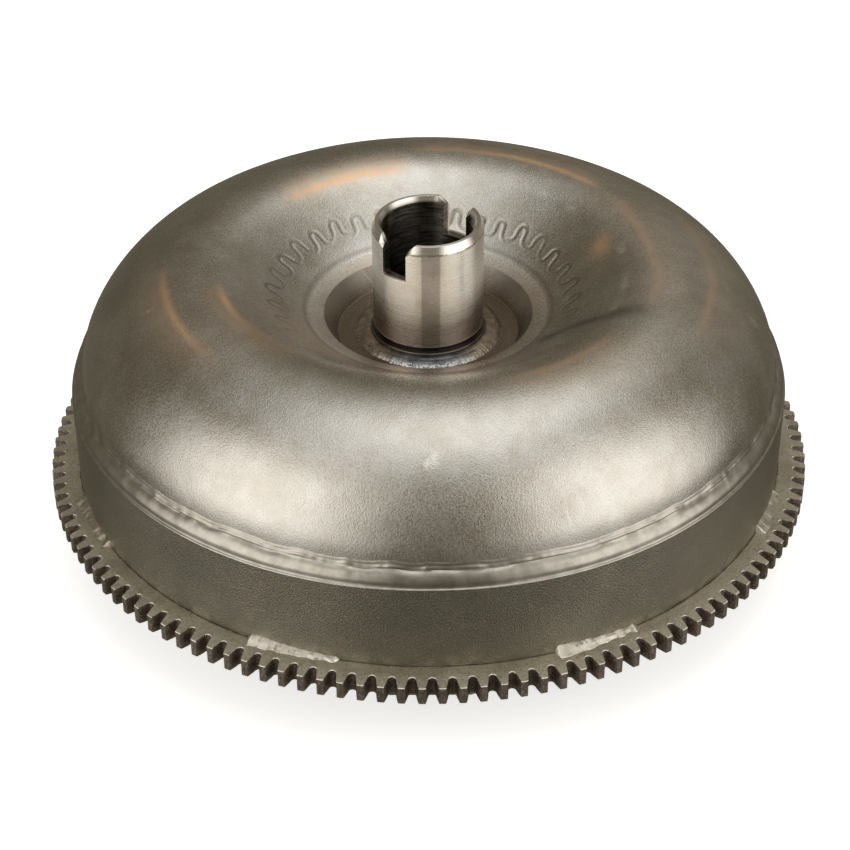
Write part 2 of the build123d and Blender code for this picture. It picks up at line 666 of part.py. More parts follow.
# -------------------------------------------------------------------- stator
# Cast wheel: hub, aerofoil blades and outer shroud in one piece.
with BuildPart() as stator_wheel:
    # aerofoil seen along the radius: (tangential, axial)
    with BuildSketch(Plane(origin=(STATOR_HUB_R - 1, 0, 0), x_dir=(0, 1, 0), z_dir=(1, 0, 0))):
        with BuildLine():
            z0, z1 = STATOR_BLADE_Z0, STATOR_BLADE_Z1
            bulged_side = Spline(
                (1.0, z0), (3.6, z0 + 2.4), (3.7, z0 + 6.5), (1.2, z0 + 11.5), (-4.6, z1 - 0.2),
                tangents=((1, 0), (-0.75, 0.66)),
            )
            other_side = Spline(
                (-5.3, z1 - 0.7), (-1.6, z0 + 10.5), (-0.4, z0 + 6.0), (-1.4, z0 + 2.2), (1.0, z0),
                tangents=((0.6, -0.8), (1, 0)),
            )
            Line(bulged_side @ 1, other_side @ 0)
        make_face()
    extrude(amount=STATOR_BLADE_R - STATOR_HUB_R + 4)
    add_turned(stator_wheel.part, STATOR_BLADES)
    # trim the blade ends to a cylinder that reaches into the shroud
    with BuildSketch(Plane.XY.offset(STATOR_BLADE_Z0 - 1)):
        Circle(STATOR_BLADE_R + 0.5)
    extrude(amount=20, mode=Mode.INTERSECT)
    with BuildSketch(Plane.XY.offset(STATOR_Z0)):
        Circle(STATOR_HUB_R)
        Circle(STATOR_BORE_R, mode=Mode.SUBTRACT)
    extrude(amount=STATOR_Z1 - STATOR_Z0)
    with BuildSketch(Plane.XY.offset(STATOR_BLADE_Z0 - 0.5)):
        Circle(STATOR_SHROUD_R)
        Circle(STATOR_BLADE_R, mode=Mode.SUBTRACT)
    extrude(amount=STATOR_BLADE_Z1 - STATOR_BLADE_Z0 + 1)
    # grooves for the two snap rings
    for z in (FRONT_CAP_Z0 - SNAP_T - SNAP_PLAY, REAR_CAP_Z1):
        with BuildSketch(Plane.XY.offset(z)):
            Circle(STATOR_BORE_R + 1.8)
            Circle(STATOR_BORE_R - 1, mode=Mode.SUBTRACT)
        extrude(amount=SNAP_T + SNAP_PLAY, mode=Mode.SUBTRACT)
save(stator_wheel, "stator_wheel")

# Outer race of the one-way clutch, with a sloping pocket for every roller.
with BuildPart() as clutch_cam:
    with BuildSketch(Plane.XY.offset(CAM_Z0)):
        Circle(STATOR_BORE_R - FIT)
        Circle(CAM_R, mode=Mode.SUBTRACT)
    extrude(amount=CAM_Z1 - CAM_Z0)
    with BuildSketch(Plane.XY.offset(CAM_Z0)):
        with BuildLine():
            Polyline(*POCKET, close=True)
        make_face()
    pocket = extrude(amount=CAM_Z1 - CAM_Z0, mode=Mode.PRIVATE)
    for k in range(ROLLERS):
        add(pocket.rotate(Axis.Z, 360 / ROLLERS * k), mode=Mode.SUBTRACT)
save(clutch_cam, "clutch_cam")

# Bearing caps on both faces of the clutch, and the snap rings that hold them.
flat_ring("front_clutch_cap", FRONT_CAP_Z0, CAM_Z0 - FRONT_CAP_Z0, CAP_OUTER_R, CAP_INNER_R)
flat_ring("rear_clutch_cap", CAM_Z1, REAR_CAP_Z1 - CAM_Z1, CAP_OUTER_R, CAP_INNER_R)
snap_ring("front_snap_ring", FRONT_CAP_Z0 - SNAP_T)
snap_ring("rear_snap_ring", REAR_CAP_Z1)

# Washer in front of the clutch.
flat_ring(
    "stator_thrust_washer", z=FRONT_CAP_Z0 - STATOR_WASHER_T, thickness=STATOR_WASHER_T,
    outer_r=34, inner_r=22,
)

with BuildPart() as clutch_rollers:
    with BuildSketch(Plane.XY.offset(ROLLER_Z0)):
        with PolarLocations(ROLLER_CIRCLE_R, ROLLERS):
            Circle(ROLLER_R)
    extrude(amount=ROLLER_Z1 - ROLLER_Z0)
    chamfer(clutch_rollers.edges().filter_by(GeomType.CIRCLE), 0.4)
save(clutch_rollers, "clutch_rollers")

# Accordion springs that push the rollers up the ramps.
with BuildPart() as clutch_springs:
    with BuildSketch(Plane.XY.offset(ROLLER_Z0 + SPRING_INSET)):
        with BuildLine():
            Polyline(*[
                (SPRING_R0 if i % 2 else SPRING_R1, SPRING_Y0 + i * SPRING_PITCH)
                for i in range(SPRING_POINTS)
            ])
        trace(line_width=SPRING_T)
    extrude(amount=ROLLER_Z1 - ROLLER_Z0 - 2 * SPRING_INSET)
    add_turned(clutch_springs.part, ROLLERS)
save(clutch_springs, "clutch_springs")

# Inner race, splined onto the fixed stator support of the gearbox.
with BuildPart() as inner_race:
    with BuildSketch(Plane.XY.offset(RACE_Z0)):
        Circle(RACE_R)
        Circle(RACE_SPLINE_MINOR_R, mode=Mode.SUBTRACT)
        spline_r = RACE_SPLINE_MINOR_R + SPLINE_OFFSET
        with PolarLocations(spline_r, RACE_SPLINES):
            Rectangle(2 * (RACE_SPLINE_MAJOR_R - spline_r), RACE_SPLINE_W, mode=Mode.SUBTRACT)
    extrude(amount=RACE_Z1 - RACE_Z0)
save(inner_race, "inner_race")
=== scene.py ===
# Torque converter standing upright on its front cover, pump hub on top.
# The axis is Z, and the camera looks from -Y. Lengths are mm, turned into metres as each
# mesh is made; azimuths are degrees from +X towards +Y. Shader positions are in metres.
import math
import bpy
import bmesh
import numpy as np
from mathutils import Matrix, Vector, noise


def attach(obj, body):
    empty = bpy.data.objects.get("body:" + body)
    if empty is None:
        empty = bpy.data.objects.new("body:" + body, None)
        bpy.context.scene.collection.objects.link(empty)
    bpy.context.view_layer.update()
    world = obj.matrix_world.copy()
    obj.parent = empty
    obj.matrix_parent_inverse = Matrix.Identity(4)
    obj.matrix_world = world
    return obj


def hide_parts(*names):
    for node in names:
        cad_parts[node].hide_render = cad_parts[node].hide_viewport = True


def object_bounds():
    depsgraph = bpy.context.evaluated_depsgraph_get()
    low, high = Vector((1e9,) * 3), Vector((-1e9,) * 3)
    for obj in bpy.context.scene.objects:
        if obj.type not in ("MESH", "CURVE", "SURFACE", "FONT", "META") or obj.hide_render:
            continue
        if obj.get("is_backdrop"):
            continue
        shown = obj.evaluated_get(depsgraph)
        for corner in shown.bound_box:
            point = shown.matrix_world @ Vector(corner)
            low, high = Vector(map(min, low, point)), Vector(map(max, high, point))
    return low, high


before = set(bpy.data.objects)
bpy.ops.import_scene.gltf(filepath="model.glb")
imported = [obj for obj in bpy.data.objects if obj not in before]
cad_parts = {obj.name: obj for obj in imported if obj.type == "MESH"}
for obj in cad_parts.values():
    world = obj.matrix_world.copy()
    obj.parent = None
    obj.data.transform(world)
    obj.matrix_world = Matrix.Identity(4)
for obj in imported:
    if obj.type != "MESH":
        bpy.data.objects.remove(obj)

CAD_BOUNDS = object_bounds()
MM = 0.001
TAU = 2 * math.pi

DRUM_RADIUS = 155.3         # outside of the front cover
DRUM_TOP = 66.8
DRUM_BASE = 10.0            # underside of the cover's outer ring
WALL = 5.0                  # thickness of the front cover
SHELL_RADIUS = 150.3        # outside of the impeller shell at its rim
SHELL_INNER_RADIUS = 146.3
SHELL_FOOT = 58.0
WELL_FLOOR = 86.0           # top of the flat round the hub
GEAR_BASE = 20.0
GEAR_TOP = 29.0
HUB_OUTER = 23.8
HUB_INNER = 19.5
HUB_TOP = 140.0
SLOT_FLOOR = 122.8          # bottom of the two hub slots


# ------------------------------------------------------------------ geometry
def full_turn(count):
    return np.linspace(0, TAU, count, endpoint=False)


def around(radius, z, angle):
    """Points at the given radius, height and angle (radians) about Z."""
    radius, z, angle = np.broadcast_arrays(radius, z, angle)
    return np.stack([radius * np.cos(angle), radius * np.sin(angle), z], -1)


def sweep(rows, angle):
    """Grid of points [angle, row] from (radius, z) rows that may vary with angle."""
    return np.stack([around(radius, z, angle) for radius, z in rows], axis=1)


def polar(radius, azimuth):
    angle = math.radians(azimuth)
    return radius * math.cos(angle), radius * math.sin(angle)


def turn_from(azimuth, centre):
    """Signed turn in degrees, -180..180."""
    return (azimuth - centre + 180) % 360 - 180


def smooth01(x):
    x = np.clip(x, 0, 1)
    return x * x * (3 - 2 * x)


def bell(value, centre, width):
    return np.exp(-(((value - centre) / width) ** 2))


def fractal(x, y, z, octaves=3, lacunarity=2.0):
    return noise.fractal(Vector((x, y, z)), 0.9, lacunarity, octaves)


def wobble(angles, frequency, seed, octaves):
    """Smooth noise that closes on itself round the circle, about -1..1."""
    return np.array([
        fractal(math.cos(angle) * frequency, math.sin(angle) * frequency, seed * 7.31,
                octaves, 2.1)
        for angle in angles
    ])


def grid(name, points, material, smooth_deg, ring=True):
    """Tube from points[station, section point] in mm: a closed ring, or a capped bar."""
    points = np.asarray(points, float)
    ids = np.arange(points.shape[0] * points.shape[1]).reshape(points.shape[:2])
    here = ids if ring else ids[:-1]
    ahead = np.roll(ids, -1, 0) if ring else ids[1:]
    corners = [here, ahead, np.roll(ahead, -1, 1), np.roll(here, -1, 1)]
    faces = np.stack(corners, -1).reshape(-1, 4).tolist()
    if not ring:
        faces += [ids[0].tolist(), ids[-1][::-1].tolist()]
    mesh = bpy.data.meshes.new(name)
    mesh.from_pydata([tuple(v) for v in (points * MM).reshape(-1, 3)], [], faces)
    mesh.update()
    piece = bpy.data.objects.new(name, mesh)
    bpy.context.scene.collection.objects.link(piece)
    mesh.materials.append(material)
    bm = bmesh.new()
    bm.from_mesh(mesh)
    bmesh.ops.remove_doubles(bm, verts=bm.verts, dist=2e-6)
    bmesh.ops.dissolve_degenerate(bm, edges=bm.edges, dist=1e-7)
    bmesh.ops.recalc_face_normals(bm, faces=bm.faces)
    bm.to_mesh(mesh)
    bm.free()
    mesh.shade_smooth()
    mesh.set_sharp_from_angle(angle=math.radians(smooth_deg))
    return piece


def join(pieces, name):
    """Merge pieces into one object and remove them."""
    mesh = bpy.data.meshes.new(name)
    bm = bmesh.new()
    for piece in pieces:
        bm.from_mesh(piece.data)
    bm.to_mesh(mesh)
    bm.free()
    mesh.materials.append(pieces[0].data.materials[0])
    for piece in pieces:
        bpy.data.objects.remove(piece)
    joined = bpy.data.objects.new(name, mesh)
    bpy.context.scene.collection.objects.link(joined)
    mesh.shade_smooth()
    mesh.set_sharp_from_angle(angle=math.radians(60))
    return joined


def spline(points, count):
    """Natural cubic spline through 2-D points, sampled evenly by chord length."""
    knots = np.asarray(points, float)
    along = np.r_[0, np.cumsum(np.hypot(*np.diff(knots, axis=0).T))]
    gaps = np.diff(along)
    slopes = np.diff(knots, axis=0) / gaps[:, None]
    last = len(knots) - 1
    matrix = np.zeros((last + 1, last + 1))
    matrix[0, 0] = matrix[-1, -1] = 1
    target = np.zeros((last + 1, 2))
    for i in range(1, last):
        matrix[i, i - 1:i + 2] = gaps[i - 1], 2 * (gaps[i - 1] + gaps[i]), gaps[i]
        target[i] = 6 * (slopes[i] - slopes[i - 1])
    bend = np.linalg.solve(matrix, target)
    samples = np.linspace(0, along[-1], count)
    k = np.clip(np.searchsorted(along, samples) - 1, 0, last - 1)
    ahead = (along[k + 1] - samples)[:, None]
    behind = (samples - along[k])[:, None]
    gap = gaps[k][:, None]
    return ((bend[k] * ahead**3 + bend[k + 1] * behind**3) / (6 * gap)
            + (knots[k] / gap - bend[k] * gap / 6) * ahead
            + (knots[k + 1] / gap - bend[k + 1] * gap / 6) * behind)


def fillet_path(points, radius, steps):
    """2-D polyline with its inner corners rounded."""
    points = [np.array(point, float) for point in points]
    path = [points[0]]
    for before, corner, after in zip(points[:-2], points[1:-1], points[2:]):
        back = (before - corner) / np.linalg.norm(before - corner)
        onward = (after - corner) / np.linalg.norm(after - corner)
        half = math.acos(max(-1, min(1, float(back @ onward)))) / 2
        reach = radius / math.tan(half)
        bisector = (back + onward) / np.linalg.norm(back + onward)
        centre = corner + bisector * radius / math.sin(half)
        start = corner + back * reach - centre
        end = corner + onward * reach - centre
        for i in range(steps + 1):
            spoke = start * (1 - i / steps) + end * (i / steps)
            path.append(centre + spoke / np.linalg.norm(spoke) * radius)
    path.append(points[-1])
    return np.array(path)


def bevel(piece, width, angle_deg):
    edge = piece.modifiers.new("edge", "BEVEL")
    edge.width = width * MM
    edge.segments = 2
    edge.limit_method = "ANGLE"
    edge.angle_limit = math.radians(angle_deg)
    edge.harden_normals = True
    edge.use_clamp_overlap = True


def install(piece, node):
    """Fix a piece to the housing in place of a CAD piece."""
    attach(piece, "housing")
    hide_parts(node)


# --------------------------------------------------------------- shader kit
class Graph:
    """Short calls for building an empty node tree up."""

    def __init__(self, tree):
        self.tree = tree
        tree.nodes.clear()

    def node(self, kind):
        return self.tree.nodes.new("ShaderNode" + kind)

    def link(self, source, target):
        self.tree.links.new(source, target)

    def set(self, socket, value):
        if hasattr(value, "is_output"):
            self.link(value, socket)
        else:
            socket.default_value = value

    def math(self, operation, first, second=0.0):
        node = self.node("Math")
        node.operation = operation
        self.set(node.inputs[0], first)
        self.set(node.inputs[1], second)
        return node.outputs[0]

    def times(self, first, second):
        return self.math("MULTIPLY", first, second)

    def plus(self, first, second):
        return self.math("ADD", first, second)

    def ramp(self, value, span, out=(0.0, 1.0)):
        """Smooth step from out[0] to out[1] as value crosses the span."""
        node = self.node("MapRange")
        node.interpolation_type = "SMOOTHSTEP"
        self.set(node.inputs["Value"], value)
        node.inputs["From Min"].default_value, node.inputs["From Max"].default_value = span
        node.inputs["To Min"].default_value, node.inputs["To Max"].default_value = out
        return node.outputs[0]


def node_material(name):
    material = bpy.data.materials.new(name)
    material.use_nodes = True
    return material


class Surface(Graph):
    """A principled material whose colour and bumps are laid on in layers."""

    def __init__(self, name):
        self.material = node_material(name)
        super().__init__(self.material.node_tree)
        output = self.node("OutputMaterial")
        self.shader = self.node("BsdfPrincipled")
        self.link(self.shader.outputs[0], output.inputs[0])
        self.coords = self.node("TexCoord").outputs["Object"]
        # turned askew, so noise cells don't line up with the axes
        skew = self.node("Mapping")
        skew.inputs["Rotation"].default_value = (0.65, 0.41, 0.93)
        self.link(self.coords, skew.inputs["Vector"])
        self.skewed = skew.outputs[0]
        self.color = None
        self.normal = None

    def math(self, operation, first, second=0.0):
        result = super().math(operation, first, second)
        result.node.inputs[2].default_value = 0.0   # the unused third input rests at zero
        return result

    def noise(self, scale, detail=3.0, rough=0.55, coords=None, distortion=0.0):
        node = self.node("TexNoise")
        node.inputs["Scale"].default_value = scale
        node.inputs["Detail"].default_value = detail
        node.inputs["Roughness"].default_value = rough
        node.inputs["Distortion"].default_value = distortion
        self.link(coords or self.skewed, node.inputs["Vector"])
        return node.outputs["Fac"]

    def scaled(self, x, y, z):
        node = self.node("Mapping")
        node.inputs["Scale"].default_value = (x, y, z)
        self.link(self.coords, node.inputs["Vector"])
        return node.outputs[0]

    def streaks(self, x, y, z, detail, rough, distortion=0.0):
        """Noise with its own density along each axis."""
        return self.noise(1.0, detail, rough, self.scaled(x, y, z), distortion)

    def cracks(self, x, y, z):
        """Distance to the borders of stretched cells."""
        coords = self.scaled(x, y, z)
        node = self.node("TexVoronoi")
        node.feature = "DISTANCE_TO_EDGE"
        node.inputs["Scale"].default_value = 1.0
        self.link(coords, node.inputs["Vector"])
        return node.outputs["Distance"]

    def rings(self, radius, density, sway=0.0):
        """Noise that varies with radius; sway makes the rings irregular."""
        point = self.node("CombineXYZ")
        self.link(self.times(radius, density), point.inputs[0])
        if sway:
            self.link(self.times(self.noise(scale=60, detail=2), sway), point.inputs[1])
        return self.noise(scale=1.0, detail=2, rough=0.6, coords=point.outputs[0])

    def xyz(self):
        node = self.node("SeparateXYZ")
        self.link(self.coords, node.inputs[0])
        return node.outputs

    def radius(self, x, y):
        return self.math("SQRT", self.plus(self.times(x, x), self.times(y, y)))

    def band(self, value, rise, fall):
        return self.times(self.ramp(value, rise), self.ramp(value, fall, (1.0, 0.0)))

    def attribute(self, name):
        node = self.node("Attribute")
        node.attribute_name = name
        return node.outputs["Fac"]

    def set_color(self, socket, value):
        self.set(socket, value if hasattr(value, "is_output") else (*value, 1.0))

    def mix(self, factor, under, over):
        node = self.node("Mix")
        node.data_type = "RGBA"
        node.blend_type = "MIX"
        self.set(node.inputs[0], factor)
        self.set_color(node.inputs[6], under)
        self.set_color(node.inputs[7], over)
        return node.outputs[2]

    def paint(self, mask, color):
        """Lay a colour over those already there."""
        self.color = self.mix(mask, self.color, color)

    def bump(self, height, strength, distance):
        """Add relief on top of any bump already there."""
        node = self.node("Bump")
        node.inputs["Strength"].default_value = strength
        node.inputs["Distance"].default_value = distance
        self.set(node.inputs["Height"], height)
        if self.normal is not None:
            self.link(self.normal, node.inputs["Normal"])
        self.normal = node.outputs[0]

    def stretch_reflections(self, amount, rotation):
        """Anisotropy from turning lines that run round Z."""
        node = self.node("Tangent")
        node.direction_type = "RADIAL"
        node.axis = "Z"
        self.link(node.outputs[0], self.shader.inputs["Tangent"])
        self.shader.inputs["Anisotropic"].default_value = amount
        self.shader.inputs["Anisotropic Rotation"].default_value = rotation

    def finish(self, rough, metallic=1.0, coat=0.0, coat_rough=0.2):
        inputs = self.shader.inputs
        self.set_color(inputs["Base Color"], self.color)
        self.set(inputs["Roughness"], rough)
        inputs["Metallic"].default_value = metallic
        inputs["Coat Weight"].default_value = coat
        inputs["Coat Roughness"].default_value = coat_rough
        self.link(self.normal, inputs["Normal"])
        return self.material


# ---------------------------------------------------------------- materials
def paint_shell_marks(mat, cloud, blotch, grain, rough):
    """Colour the shell from its painted attributes; returns the new roughness."""
    tint, dirt_and_shade, pale, turned = (
        mat.attribute(name) for name in ("tint", "dirt_and_shade", "pale", "turned"))
    broken = mat.ramp(mat.noise(scale=120, detail=4, rough=0.62),
                      span=(0.26, 0.52), out=(0.55, 1.0))
    # copper heat colour, then the turned floor (brown, painted darker as shade), dirt and
    # painted shade, then bare metal and painted highlights
    mat.paint(mat.times(tint, broken), color=(0.84, 0.56, 0.345))
    # the turned floor keeps its brown, painted darker as shade in the well
    mat.paint(mat.times(turned, 0.90), color=(0.17, 0.125, 0.085))
    mat.paint(mat.times(dirt_and_shade, mat.ramp(blotch, span=(0.3, 0.6), out=(0.6, 1.0))),
              color=(0.115, 0.10, 0.082))
    mat.paint(mat.times(pale, mat.ramp(grain, span=(0.35, 0.6), out=(0.5, 1.0))),
              color=(0.92, 0.89, 0.83))
    rough = mat.plus(rough, mat.plus(mat.times(dirt_and_shade, 0.10), mat.times(tint, 0.20)))
    # light bare-metal scratches
    scratch = mat.ramp(mat.cracks(x=130, y=7, z=60), span=(0.0, 0.012), out=(0.30, 0.0))
    mat.paint(mat.times(scratch, mat.ramp(cloud, span=(0.54, 0.62))),
              color=(0.74, 0.71, 0.66))
    return rough


def pressed_steel(name, light, dark, rough, relief, marks=False):
    """Bead-blasted sheet steel under thin clear lacquer."""
    mat = Surface(name)
    cloud = mat.noise(scale=26, detail=4, rough=0.6)
    blotch = mat.noise(scale=90, detail=3, rough=0.6)
    grain = mat.noise(scale=1500, detail=2, rough=0.6)
    fine = mat.noise(scale=3000, detail=2, rough=0.6)
    tone = mat.plus(mat.times(cloud, 0.5), mat.times(blotch, 0.5))
    mat.color = mat.mix(mat.ramp(tone, span=(0.30, 0.70)), dark, light)
    # faint green-grey and brown casts in the lacquer
    mat.paint(mat.ramp(mat.noise(scale=40), span=(0.46, 0.66), out=(0.0, 0.20)),
              color=(0.50, 0.49, 0.43))
    streak = mat.streaks(x=52, y=52, z=52, detail=4, rough=0.62, distortion=0.5)
    mat.paint(mat.ramp(streak, span=(0.52, 0.74), out=(0.0, 0.22)),
              color=(0.40, 0.31, 0.225))
    # dark pores and bright specks
    mat.paint(mat.ramp(grain, span=(0.30, 0.56), out=(0.34, 0.0)), color=(0.27, 0.24, 0.195))
    mat.paint(mat.ramp(fine, span=(0.58, 0.74), out=(0.0, 0.32)), color=(0.86, 0.83, 0.77))
    roughness = mat.plus(
        mat.ramp(grain, span=(0.3, 0.7), out=(rough - 0.05, rough + 0.06)),
        mat.ramp(cloud, span=(0.3, 0.7), out=(-0.02, 0.03)))
    if marks:
        roughness = paint_shell_marks(mat, cloud, blotch, grain, roughness)
    height = mat.plus(mat.times(grain, 1.0), mat.times(fine, 0.45))
    mat.bump(height, strength=0.36 * relief, distance=0.00026)
    mat.bump(mat.noise(scale=620, detail=1, rough=0.5),
             strength=0.12 * relief, distance=0.00025)
    if marks:
        # fine turning lines on the well floor
        x, y, z = mat.xyz()
        rings = mat.rings(mat.radius(x, y), density=1100.0)
        mat.bump(mat.times(rings, mat.attribute("turned")), strength=0.5, distance=0.0004)
    return mat.finish(roughness, coat=0.10, coat_rough=0.22)


def paint_hub_stains_and_light(mat, lines, cloud):
    """Heat stains and rust on the hub, with painted shade, a painted highlight and painted
    reflection bands, placed by height and radius in metres.
    """
    x, y, z = mat.xyz()
    outer = mat.ramp(mat.radius(x, y), span=(0.0222, 0.0230))
    # straw-coloured heat and varnish stains
    mat.paint(mat.ramp(cloud, span=(0.50, 0.72), out=(0.0, 0.45)), color=(0.66, 0.56, 0.40))
    # brown, darker towards the foot and stronger towards the sides at ±X
    side = mat.ramp(mat.math("ABSOLUTE", x), span=(0.010, 0.023))
    low = mat.times(mat.ramp(z, span=(0.093, 0.114), out=(1.0, 0.0)),
                    mat.plus(mat.times(side, 0.62), 0.30))
    mat.paint(low, color=(0.30, 0.155, 0.105))
    grey = mat.times(mat.ramp(z, span=(0.100, 0.1055), out=(0.30, 0.0)),
                     mat.ramp(lines, span=(0.35, 0.6), out=(0.5, 1.0)))
    mat.paint(grey, color=(0.40, 0.34, 0.31))
    # thin rust line under the top chamfer
    rust = mat.band(z, rise=(0.1358, 0.1364), fall=(0.1366, 0.1372))
    rust = mat.times(rust, mat.ramp(mat.noise(scale=260), span=(0.44, 0.56)))
    mat.paint(mat.times(rust, 0.9), color=(0.30, 0.19, 0.09))
    # bore painted almost black as shade, streaked by noise
    bore_shade = mat.times(mat.math("SUBTRACT", 1.0, outer),
                     mat.ramp(z, span=(0.1372, 0.1392), out=(0.97, 0.10)))
    bore_streaks = mat.streaks(x=120, y=120, z=900, detail=3, rough=0.6)
    mat.paint(mat.times(bore_shade, mat.ramp(bore_streaks, span=(0.35, 0.65), out=(0.80, 1.0))),
              color=(0.085, 0.070, 0.052))
    # collar at the foot painted dark as shade, with a groove above it
    collar = mat.band(z, rise=(0.0850, 0.0860), fall=(0.0892, 0.0896))
    mat.paint(mat.times(collar, 0.85), color=(0.15, 0.125, 0.105))
    groove = mat.band(z, rise=(0.0888, 0.0892), fall=(0.09095, 0.0911))
    # upright dark bands, painted reflections, by turn in radians from the YZ plane
    turn = mat.math("ARCTAN2", x, mat.math("ABSOLUTE", y))
    turn = mat.math("ABSOLUTE", mat.math("SUBTRACT", turn, 0.045))
    reflection_bands = mat.plus(mat.ramp(turn, span=(0.145, 0.185), out=(0.60, 0.0)),
                     mat.ramp(turn, span=(0.80, 1.00), out=(0.0, 0.45)))
    below_top = mat.ramp(z, span=(0.1366, 0.1374), out=(1.0, 0.35))
    mat.paint(mat.times(reflection_bands, mat.times(outer, below_top)), color=(0.27, 0.25, 0.23))
    # painted highlight: a bright line on the edge just above the groove
    foot = mat.band(z, rise=(0.0912, 0.0915), fall=(0.0918, 0.0922))
    mat.paint(mat.times(foot, 0.75), color=(0.95, 0.91, 0.85))
    # the groove painted near black as shadow
    mat.paint(mat.times(groove, 0.95), color=(0.035, 0.028, 0.024))


def turned_steel(name, rough, stains_and_light):
    """Machined steel with fine turning lines round Z."""
    mat = Surface(name)
    lines = mat.streaks(x=16, y=16, z=2600, detail=3, rough=0.7)
    cloud = mat.noise(scale=110, detail=4, rough=0.6)
    mat.color = mat.mix(mat.ramp(lines, span=(0.3, 0.7)),
                        under=(0.80, 0.765, 0.71), over=(0.88, 0.845, 0.79))
    if stains_and_light:
        paint_hub_stains_and_light(mat, lines, cloud)
    pits = mat.ramp(mat.noise(scale=1500, detail=2), span=(0.68, 0.76), out=(0.0, 0.5))
    mat.paint(pits, color=(0.30, 0.26, 0.21))
    roughness = mat.plus(
        mat.ramp(lines, span=(0.3, 0.7), out=(rough - 0.04, rough + 0.05)),
        mat.ramp(cloud, span=(0.4, 0.7), out=(0.0, 0.06)))
    mat.bump(lines, strength=0.05, distance=0.00004)
    mat.stretch_reflections(amount=0.94, rotation=0.25)
    return mat.finish(roughness)


def weld_metal(name, light, dark, rough, relief, blots, spread, dull=False):
    """Weld bead; blots is the strength of brown spots, spread the range of roughness."""
    mat = Surface(name)
    big = mat.noise(scale=170, detail=4, rough=0.6)
    small = mat.noise(scale=820, detail=3, rough=0.6)
    mat.color = mat.mix(mat.ramp(big, span=(0.34, 0.60)), dark, light)
    mat.paint(mat.ramp(small, span=(0.56, 0.74), out=(0.0, blots)), color=(0.36, 0.295, 0.22))
    if dull:
        # beads on the -X side are browner
        x, y, z = mat.xyz()
        west = mat.times(mat.ramp(x, span=(-0.145, -0.115), out=(0.70, 0.0)),
                         mat.ramp(big, span=(0.62, 0.48)))
        mat.paint(west, color=(0.33, 0.28, 0.205))
        spots = mat.noise(scale=300, detail=3, rough=0.6)
        mat.paint(mat.ramp(spots, span=(0.58, 0.66), out=(0.0, 0.7)),
                  color=(0.20, 0.165, 0.125))
    roughness = mat.ramp(small, span=(0.3, 0.7),
                         out=(rough - 0.36 * spread, rough + 0.64 * spread))
    mat.bump(mat.plus(small, mat.times(big, 0.8)), strength=relief, distance=0.00035)
    return mat.finish(roughness)


def hub_weld_metal(name):
    """Weld dressed in a lathe: ringed, brown-grey, blue-silver and ragged at its edge."""
    mat = Surface(name)
    x, y, z = mat.xyz()
    radius = mat.radius(x, y)
    # the camera side, -Y
    front = mat.times(
        mat.ramp(y, span=(-0.027, -0.012), out=(1.0, 0.0)),
        mat.ramp(mat.math("ABSOLUTE", x), span=(0.010, 0.024), out=(1.0, 0.0)))
    big = mat.noise(scale=210, detail=4, rough=0.6)
    small = mat.noise(scale=1100, detail=3, rough=0.65)
    brown = mat.mix(mat.ramp(big, span=(0.35, 0.65)),
                    under=(0.20, 0.155, 0.115), over=(0.36, 0.295, 0.23))
    blue = mat.mix(mat.ramp(big, span=(0.35, 0.60)),
                   under=(0.080, 0.086, 0.095), over=(0.185, 0.195, 0.21))
    mat.color = mat.mix(front, brown, blue)
    # bright flecks along the outer edge
    edge = mat.times(mat.ramp(radius, span=(0.0292, 0.0312)),
                     mat.ramp(small, span=(0.44, 0.54)))
    mat.paint(mat.times(edge, mat.plus(mat.times(front, 0.45), 0.15)),
              color=(0.95, 0.95, 0.93))
    mat.bump(mat.rings(radius, density=1500.0, sway=2.5), strength=0.6, distance=0.0004)
    mat.bump(small, strength=0.30, distance=0.0003)
    return mat.finish(mat.ramp(small, span=(0.3, 0.7), out=(0.24, 0.42)))


def drum_steel(name):
    """Rolled steel, darker, with a fine speckle."""
    mat = Surface(name)
    cloud = mat.noise(scale=22)
    grain = mat.noise(scale=1500, detail=2, rough=0.6)
    fine = mat.noise(scale=2700, detail=2, rough=0.6)
    speck = mat.noise(scale=620, detail=3, rough=0.7)
    mat.color = mat.mix(mat.ramp(cloud, span=(0.34, 0.66)),
                        under=(0.205, 0.193, 0.15), over=(0.268, 0.252, 0.198))
    # brown patches, dark pores, then two sizes of bright speck
    mat.paint(mat.ramp(mat.noise(scale=150, detail=4, rough=0.6),
                       span=(0.54, 0.72), out=(0.0, 0.35)), color=(0.36, 0.285, 0.22))
    mat.paint(mat.ramp(grain, span=(0.30, 0.55), out=(0.5, 0.0)), color=(0.17, 0.15, 0.12))
    mat.paint(mat.ramp(fine, span=(0.60, 0.76), out=(0.0, 0.5)), color=(0.78, 0.75, 0.68))
    mat.paint(mat.ramp(speck, span=(0.70, 0.76), out=(0.0, 0.75)), color=(0.88, 0.85, 0.78))
    # paler, patchy band near the ring gear
    x, y, z = mat.xyz()
    foot = mat.times(mat.ramp(z, span=(0.0295, 0.036), out=(0.35, 0.0)),
                     mat.ramp(mat.noise(scale=110), span=(0.4, 0.6)))
    mat.paint(foot, color=(0.60, 0.55, 0.46))
    mat.bump(mat.plus(grain, mat.times(fine, 0.45)), strength=0.75, distance=0.00042)
    roughness = mat.ramp(grain, span=(0.3, 0.7), out=(0.36, 0.48))
    return mat.finish(roughness, coat=0.08, coat_rough=0.25)


